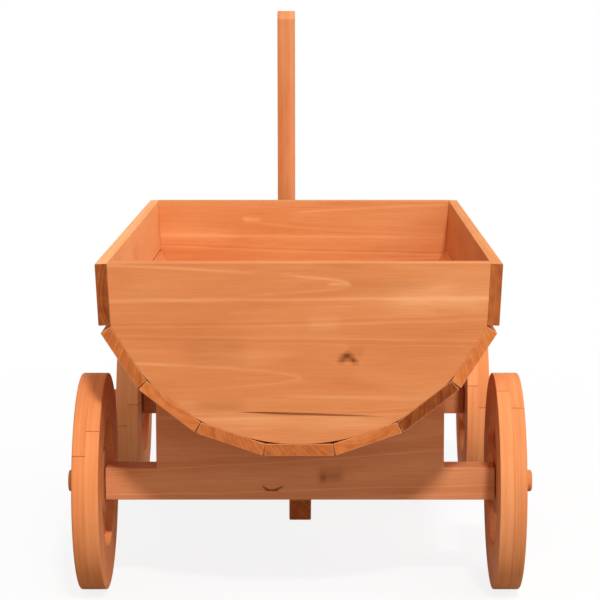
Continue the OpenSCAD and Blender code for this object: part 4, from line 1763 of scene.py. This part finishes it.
    def _ply(self, bench: Bench, tree: GeometryTree, name: str, seam: float, number: int) -> None:
        """Makes one ply of the rim.

        Args:
            bench: where it is finished.
            tree: the tree that makes its segments.
            name: the piece's name.
            seam: the angle of its first seam above the rear horizontal.
            number: 1 for the inner ply, 2 for the outer one.
        """
        node = self.node(name)
        low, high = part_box(node)
        centre = Vector(((low.x + high.x) / 2, self.centre.y, self.centre.z))
        first = self.plane_angle(seam)
        inner = number == 1
        piece = new_piece(node + "_wood", bmesh.new())
        tree.run(
            piece,
            tread_radius=self.tread_r,
            rim_depth=self.rim_depth,
            ply=self.ply_t,
            count=self.segments,
            first=first,
            gap=self.seam_gap,
            edge=self.inner_edge if inner else self.outer_edge,
            glued_edge=self.glued_edge,
            facing=self.side.value * (1 if inner else -1),
            centre=centre,
            material=bench.materials[Finish.WHEEL],
        )
        mesh = bmesh.new()
        mesh.from_mesh(piece.data)
        ease(mesh, self.seam_edge, steps=1)
        mesh.to_mesh(piece.data)
        mesh.free()
        cut(piece, self._sockets())
        seed = 41.0 + vary(self.seam + number, 0, 30)
        slope = vary(seed + 1, -0.01, 0.01)
        heart = Cut.QUARTER.heart(vary(seed, -0.1, 0.1), slope, 1 if inner else -1)
        place = axes(centre, -AXIS_Z, AXIS_Y)
        half = math.pi * self.tread_r / self.segments
        stained = [Mark(end * half, 0.0, self.seam_stain, half, 0.0, self.seam_shade) for end in (-1, 1)]
        grain = RimGrain(
            place,
            (heart,),
            dark=stained,
            tone=self.tone * vary(seed + 2, 1.09, 1.17),
            bleach=self.bleach,
            seed=seed,
            count=self.segments,
            first=first,
            radius=self.tread_r,
        )
        bench.hand_over(piece, node, Finish.WHEEL, grain)

    def _spokes(self, bench: Bench, tree: GeometryTree) -> None:
        """Makes the spokes, with their ends in the hub and the rim."""
        node = self.node("spokes")
        first = self.plane_angle(self.first_spoke)
        piece = new_piece(node + "_wood", bmesh.new())
        tree.run(
            piece,
            inner=self.hub_r - self.hub_socket,
            outer=self.rim_r + self.rim_socket,
            width=self.spoke_w,
            thickness=self.spoke_t,
            count=self.spokes,
            first=first,
            edge=self.spoke_edge,
            centre=self.centre,
            material=bench.materials[Finish.WHEEL],
        )
        heart = Cut.RIFT.heart(0.05, 0.02, self.side.value)
        grain = SpokeGrain(
            self.place, (heart,), tone=0.98, seed=61.0 + self.seam, count=self.spokes, first=first
        )
        bench.hand_over(piece, node, Finish.WHEEL, grain)

    def _hub(self, bench: Bench) -> None:
        """Turns the hub and cuts its sockets."""
        half, edge, r, bore = self.hub_t / 2, self.hub_edge, self.hub_r, self.bore_d / 2
        rounds = [math.pi / 2 * step / self.hub_edge_steps for step in range(self.hub_edge_steps + 1)]
        right = [(half - edge + edge * math.sin(a), r - edge + edge * math.cos(a)) for a in rounds]
        left = [(-x, out) for x, out in reversed(right)]
        profile = [*left, *right, (half, bore), (-half, bore)]
        mesh = turned(profile, axes(self.centre, AXIS_X, AXIS_Z), closed=True)
        piece = new_piece(self.node("hub") + "_wood", mesh)
        cut(piece, self._sockets())
        place = axes(self.centre, AXIS_Z, AXIS_Y)
        heart = Heart(40 * MM, 5 * MM, 45 * MM, 0.05)
        grain = Grain(place, (heart,), tone=0.97, seed=71.0 + self.seam)
        bench.hand_over(piece, self.node("hub"), Finish.WHEEL, grain)

    def _axle(self, bench: Bench) -> None:
        """Makes the peg, its washer and its linchpin."""
        sign = self.side.value
        low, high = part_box(self.node("axle_peg"))
        inner, outer = sorted((abs(low.x), abs(high.x)))
        r = (high.z - low.z) / 2
        edge, corner = self.peg_edge, self.peg_corner
        profile = [
            (inner, 0.0), (inner, r), (outer - edge, r),
            (outer - corner, r - corner), (outer, r - edge), (outer, 0.0),
        ]
        axle = axes(Vector((0.0, self.centre.y, self.centre.z)), sign * AXIS_X, AXIS_Z)
        piece = new_piece(self.node("axle_peg") + "_wood", turned(profile, axle))
        pin_low, pin_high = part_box(self.node("linchpin"))
        pin_half = (pin_high.z - pin_low.z) / 2
        pin_place = axes((pin_low + pin_high) / 2, AXIS_Z, AXIS_X)
        cut(piece, turned(rod(-pin_half, pin_half, self.pin_hole_d / 2), pin_place))
        place = axes(axle.translation, sign * AXIS_X, AXIS_Y)
        grain = Grain(place, (Cut.QUARTER.heart(0.05, 0.02),), seed=81.0)
        bench.hand_over(piece, self.node("axle_peg"), Finish.WHEEL, grain)

        pin_r, c = (pin_high.x - pin_low.x) / 2, 2 * self.metal_edge
        pin = [
            (-pin_half, 0.0), (-pin_half, pin_r - c), (c - pin_half, pin_r),
            (pin_half - c, pin_r), (pin_half, pin_r - c), (pin_half, 0.0),
        ]
        piece = new_piece(self.node("linchpin") + "_steel", turned(pin, pin_place))
        bench.hand_over(piece, self.node("linchpin"), Finish.STEEL)

        washer = self.node("axle_washer")
        piece = new_piece(washer + "_steel", washer_mesh(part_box(washer), r + METAL_ROOM, self.metal_edge))
        bench.hand_over(piece, washer, Finish.STEEL)


def washer_mesh(
    box: tuple[Vector, Vector], bore_r: float, edge: float, into: Optional[bmesh.types.BMesh] = None
) -> bmesh.types.BMesh:
    """Turns a washer that lies across X.

    Args:
        box: its lowest and highest corners.
        bore_r: the radius of its hole.
        edge: the size of its chamfers.
        into: a mesh to add it to.

    Returns:
        The mesh.
    """
    low, high = box
    half, r = (high.x - low.x) / 2, (high.z - low.z) / 2
    profile = [
        (-half, bore_r), (-half, r - edge), (edge - half, r),
        (half - edge, r), (half, r - edge), (half, bore_r),
    ]
    return turned(profile, axes((low + high) / 2, AXIS_X, AXIS_Z), into, closed=True)


@dataclass
class Handle:
    """The pull handle and the bolt that it swings on."""

    chamfer: float = 9 * MM
    bolt_d: float = 6 * MM
    bore_room: float = 0.08 * MM
    head_d: float = 15 * MM
    head_h: float = 4 * MM
    washer_t: float = 1.6 * MM
    washer_edge: float = 0.25 * MM
    thread_pitch: float = 1 * MM
    thread_deep: float = 0.4 * MM
    edge: float = 0.8 * MM
    nut_edge: float = 0.45 * MM
    # Steps round the foot, over the bolt's dome and across an eased edge of the bar
    foot_steps: int = 24
    dome_steps: int = 10
    edge_steps: int = 3

    def __post_init__(self) -> None:
        """Reads from the frame where the handle and its bolt are."""
        self.low, self.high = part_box("handle")
        self.nut_low, self.nut_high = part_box("pivot_nut")
        self.bolt_low, self.bolt_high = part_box("pivot_bolt")
        self.pivot = (self.nut_low + self.nut_high) / 2
        self.half = (self.high.y - self.low.y) / 2

    def build(self, bench: Bench) -> None:
        """Makes the handle, its bolt, washers and nut.

        Args:
            bench: where they are finished.
        """
        self._bar(bench)
        self._bolt(bench)
        self._washers(bench)
        self._nut(bench)

    def _bar(self, bench: Bench) -> None:
        """Makes the bar, with a chamfered top and a round foot about the pivot."""
        half, c, top = self.half, self.chamfer, self.high.z - self.pivot.z
        angles = [math.pi + math.pi * step / self.foot_steps for step in range(self.foot_steps + 1)]
        foot = [(half * math.cos(a), half * math.sin(a)) for a in angles]
        outline = [*foot, (half, top - c), (half - c, top), (c - half, top), (-half, top - c)]
        place = axes(Vector((self.low.x, self.pivot.y, self.pivot.z)), AXIS_Y, AXIS_Z)
        mesh = prism(outline, 0.0, self.high.x - self.low.x, place)
        ease(mesh, self.edge, self.edge_steps)
        piece = new_piece("handle_wood", mesh)
        bore = rod(-OVER, self.high.x - self.low.x + OVER, self.bolt_d / 2 + self.bore_room)
        cut(piece, turned(bore, axes(place.translation, AXIS_X, AXIS_Z)))
        face = axes(Vector(((self.low.x + self.high.x) / 2, self.low.y, 0.0)), AXIS_Z, -AXIS_X)
        pale = (Mark(0.4, -7 * MM, 0.25, 4.5 * MM, 0.0, 0.6), Mark(0.5, 0.0, 0.06, 12 * MM, 0.0, 0.4))
        dark = (Mark(0.36, 5 * MM, 0.15, 6 * MM, 0.0, 0.16),)
        heart = Cut.QUARTER.heart(0.0, 0.012)
        grain = Grain(face, (heart,), pale=pale, dark=dark, tone=0.94, end_tone=1.1, seed=91.0)
        bench.hand_over(piece, "handle", Finish.HANDLE, grain)

    def _bolt(self, bench: Bench) -> None:
        """Turns the bolt: a domed head, a shank and a thread that shows past the nut."""
        dome_r = (self.head_d**2 / 4 + self.head_h**2) / (2 * self.head_h)
        rise = math.asin(self.head_d / 2 / dome_r)
        angles = [rise * step / self.dome_steps for step in range(self.dome_steps + 1)]
        seat = self.bolt_low.x + self.head_h
        dome = [(self.bolt_low.x + dome_r * (1 - math.cos(a)), dome_r * math.sin(a)) for a in angles]
        r, end = self.bolt_d / 2, self.bolt_high.x
        turns = int((end - self.nut_high.x) / self.thread_pitch)
        thread = []
        for turn in range(turns):
            start = self.nut_high.x + turn * self.thread_pitch
            thread += [(start, r - self.thread_deep), (start + self.thread_pitch / 2, r)]
        profile = [*dome, (seat, r), (self.nut_high.x - self.thread_pitch, r), *thread]
        profile += [(end, r - self.thread_deep), (end, 0.0)]
        axle = axes(Vector((0.0, self.pivot.y, self.pivot.z)), AXIS_X, AXIS_Z)
        piece = new_piece("pivot_bolt_steel", turned(profile, axle))
        bench.hand_over(piece, "pivot_bolt", Finish.STEEL)

    def _washers(self, bench: Bench) -> None:
        """Makes the washers under the bolt's head and its nut."""
        low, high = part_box("pivot_washers")
        mesh = bmesh.new()
        for x in (low.x, high.x - self.washer_t):
            box = (Vector((x, low.y, low.z)), Vector((x + self.washer_t, high.y, high.z)))
            washer_mesh(box, self.bolt_d / 2 + METAL_ROOM, self.washer_edge, mesh)
        bench.hand_over(new_piece("pivot_washers_steel", mesh), "pivot_washers", Finish.STEEL)

    def _nut(self, bench: Bench) -> None:
        """Makes the nut, with eased corners and a hole for the bolt."""
        low, high = self.nut_low, self.nut_high
        flat_z = (high.z - low.z) / 2
        flat_y = (high.y - low.y) / 2
        corner = max(flat_y, flat_z)
        turn = 0.0 if flat_y > flat_z else math.pi / 6
        angles = [turn + math.pi / 3 * step for step in range(6)]
        outline = [(corner * math.cos(a), corner * math.sin(a)) for a in angles]
        start = Vector((low.x, self.pivot.y, self.pivot.z))
        thick = high.x - low.x
        mesh = prism(outline, 0.0, thick, axes(start, AXIS_Y, AXIS_Z))
        ease(mesh, self.nut_edge)
        piece = new_piece("pivot_nut_steel", mesh)
        bore = rod(-OVER, thick + OVER, self.bolt_d / 2 + METAL_ROOM)
        cut(piece, turned(bore, axes(start, AXIS_X, AXIS_Z)))
        bench.hand_over(piece, "pivot_nut", Finish.STEEL)


@dataclass
class Studio:
    """The floor, the light and the camera."""

    camera_at: Vector = field(default_factory=lambda: Vector((16.7 * MM, -2.228, 533.7 * MM)))
    camera_down: float = 0.1318
    lens: float = 131.7
    # How far the picture's middle lies left of the lens axis, as a share of the picture
    shift: float = -0.0304
    # Where the main light hangs and what it points at
    key_from: Vector = field(default_factory=lambda: Vector((0.62, -4.25, 4.15)))
    key_to: Vector = field(default_factory=lambda: Vector((0.0, 0.0, 0.2)))
    key_size: float = 0.5
    key_power: float = 187.0
    # The light of the sky, and how much more of it comes from the right
    sky: float = 0.785
    sky_lean: float = 0.6
    # Half the floor's size, its colour in the shadow, and the colour that lights the wagon from below
    floor_half: float = 14.0
    floor_shade: Colour = (0.9, 0.9, 0.9, 1.0)
    floor_bounce: Colour = (0.31, 0.285, 0.26, 1.0)
    # The share of plain white in the floor near the wagon, and where it starts to rise and is whole
    floor_white: float = 0.85
    shadow_edge: tuple[float, float] = (0.55, 1.3)

    def build(self) -> None:
        """Sets the stage, the lights and the camera."""
        bpy.context.scene.view_settings.view_transform = "Standard"
        self._floor()
        self._sky()
        self._key()
        self._camera()

    def _floor(self) -> None:
        """Lays the floor: white to the camera apart from the shadow, and dull to the wagon's underside."""
        mesh = bmesh.new()
        bmesh.ops.create_grid(mesh, x_segments=4, y_segments=4, size=self.floor_half)
        floor = new_piece("floor", mesh)
        tree = ShaderTree("studio floor")
        shade = tree.node("ShaderNodeBsdfDiffuse", None, {"Color": self.floor_shade}).outputs["BSDF"]
        white = tree.node("ShaderNodeEmission", None, {"Color": WHITE}).outputs["Emission"]
        away = tree.length(tree.node("ShaderNodeTexCoord").outputs["Object"]).within(*self.shadow_edge)
        share = self.floor_white + (1.0 - self.floor_white) * away
        pale = tree.node("ShaderNodeMixShader", None, {0: share, 1: shade, 2: white}).outputs["Shader"]
        dull = tree.node("ShaderNodeBsdfDiffuse", None, {"Color": self.floor_bounce}).outputs["BSDF"]
        inputs = {0: tree.seen_straight(), 1: dull, 2: pale}
        surface = tree.node("ShaderNodeMixShader", None, inputs).outputs["Shader"]
        tree.node("ShaderNodeOutputMaterial", None, {"Surface": surface})
        floor.data.materials.append(tree.material)

    def _sky(self) -> None:
        """Makes the world white to the camera and a soft light to the wagon."""
        world = bpy.data.worlds.new("studio")
        world.use_nodes = True
        bpy.context.scene.world = world
        tree = Tree(world.node_tree)
        way = tree.node("ShaderNodeTexCoord").outputs["Generated"]
        right = Value(tree, tree.node("ShaderNodeSeparateXYZ", None, {"Vector": way}).outputs["X"])
        soft = self.sky + self.sky * self.sky_lean * right
        strength = soft + (1.0 - soft) * tree.seen_straight()
        back = tree.node("ShaderNodeBackground", None, {"Color": WHITE, "Strength": strength})
        tree.node("ShaderNodeOutputWorld", None, {"Surface": back.outputs["Background"]})

    def _key(self) -> None:
        """Hangs the main light, a soft round one, in front of the wagon, a little to the right."""
        lamp = bpy.data.lights.new("key", "AREA")
        lamp.shape = "DISK"
        lamp.size = self.key_size
        lamp.energy = self.key_power
        light = bpy.data.objects.new("key", lamp)
        bpy.context.scene.collection.objects.link(light)
        light.location = self.key_from
        light.rotation_euler = (self.key_to - self.key_from).to_track_quat("-Z", "Y").to_euler()

    def _camera(self) -> None:
        """Sets the camera where the photograph was taken from."""
        lens = bpy.data.cameras.new("camera")
        lens.lens = self.lens
        lens.shift_x = self.shift
        camera = bpy.data.objects.new("camera", lens)
        bpy.context.scene.collection.objects.link(camera)
        camera.location = self.camera_at
        camera.rotation_euler = (math.pi / 2 - self.camera_down, 0.0, 0.0)
        bpy.context.scene.camera = camera


def main() -> None:
    logging.basicConfig(level=logging.INFO, format="%(message)s")
    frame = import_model()
    bench = Bench(frame)
    screw_tree, rim_tree, spoke_tree = Screws.tree(), Wheel.rim_tree(), Wheel.spoke_tree()
    trough = Trough()
    trough.build(bench, screw_tree)
    Undercarriage(trough).build(bench, screw_tree)
    # The front wheels' higher tone and bleach partly stand in for light: painted fill light on these far
    # wheels
    for corner, side, seam, tone, bleach in (
        ("rear_left", Side.LEFT, 38, 1.0, 0.0),
        ("rear_right", Side.RIGHT, 66, 0.92, 0.14),
        ("front_left", Side.LEFT, 6, 1.14, 0.22),
        ("front_right", Side.RIGHT, 17.5, 1.06, 0.12),
    ):
        Wheel(corner, side, math.radians(seam), tone, bleach).build(bench, rim_tree, spoke_tree)
    Handle().build(bench)
    Studio().build()


if __name__ == "__main__":
    main()
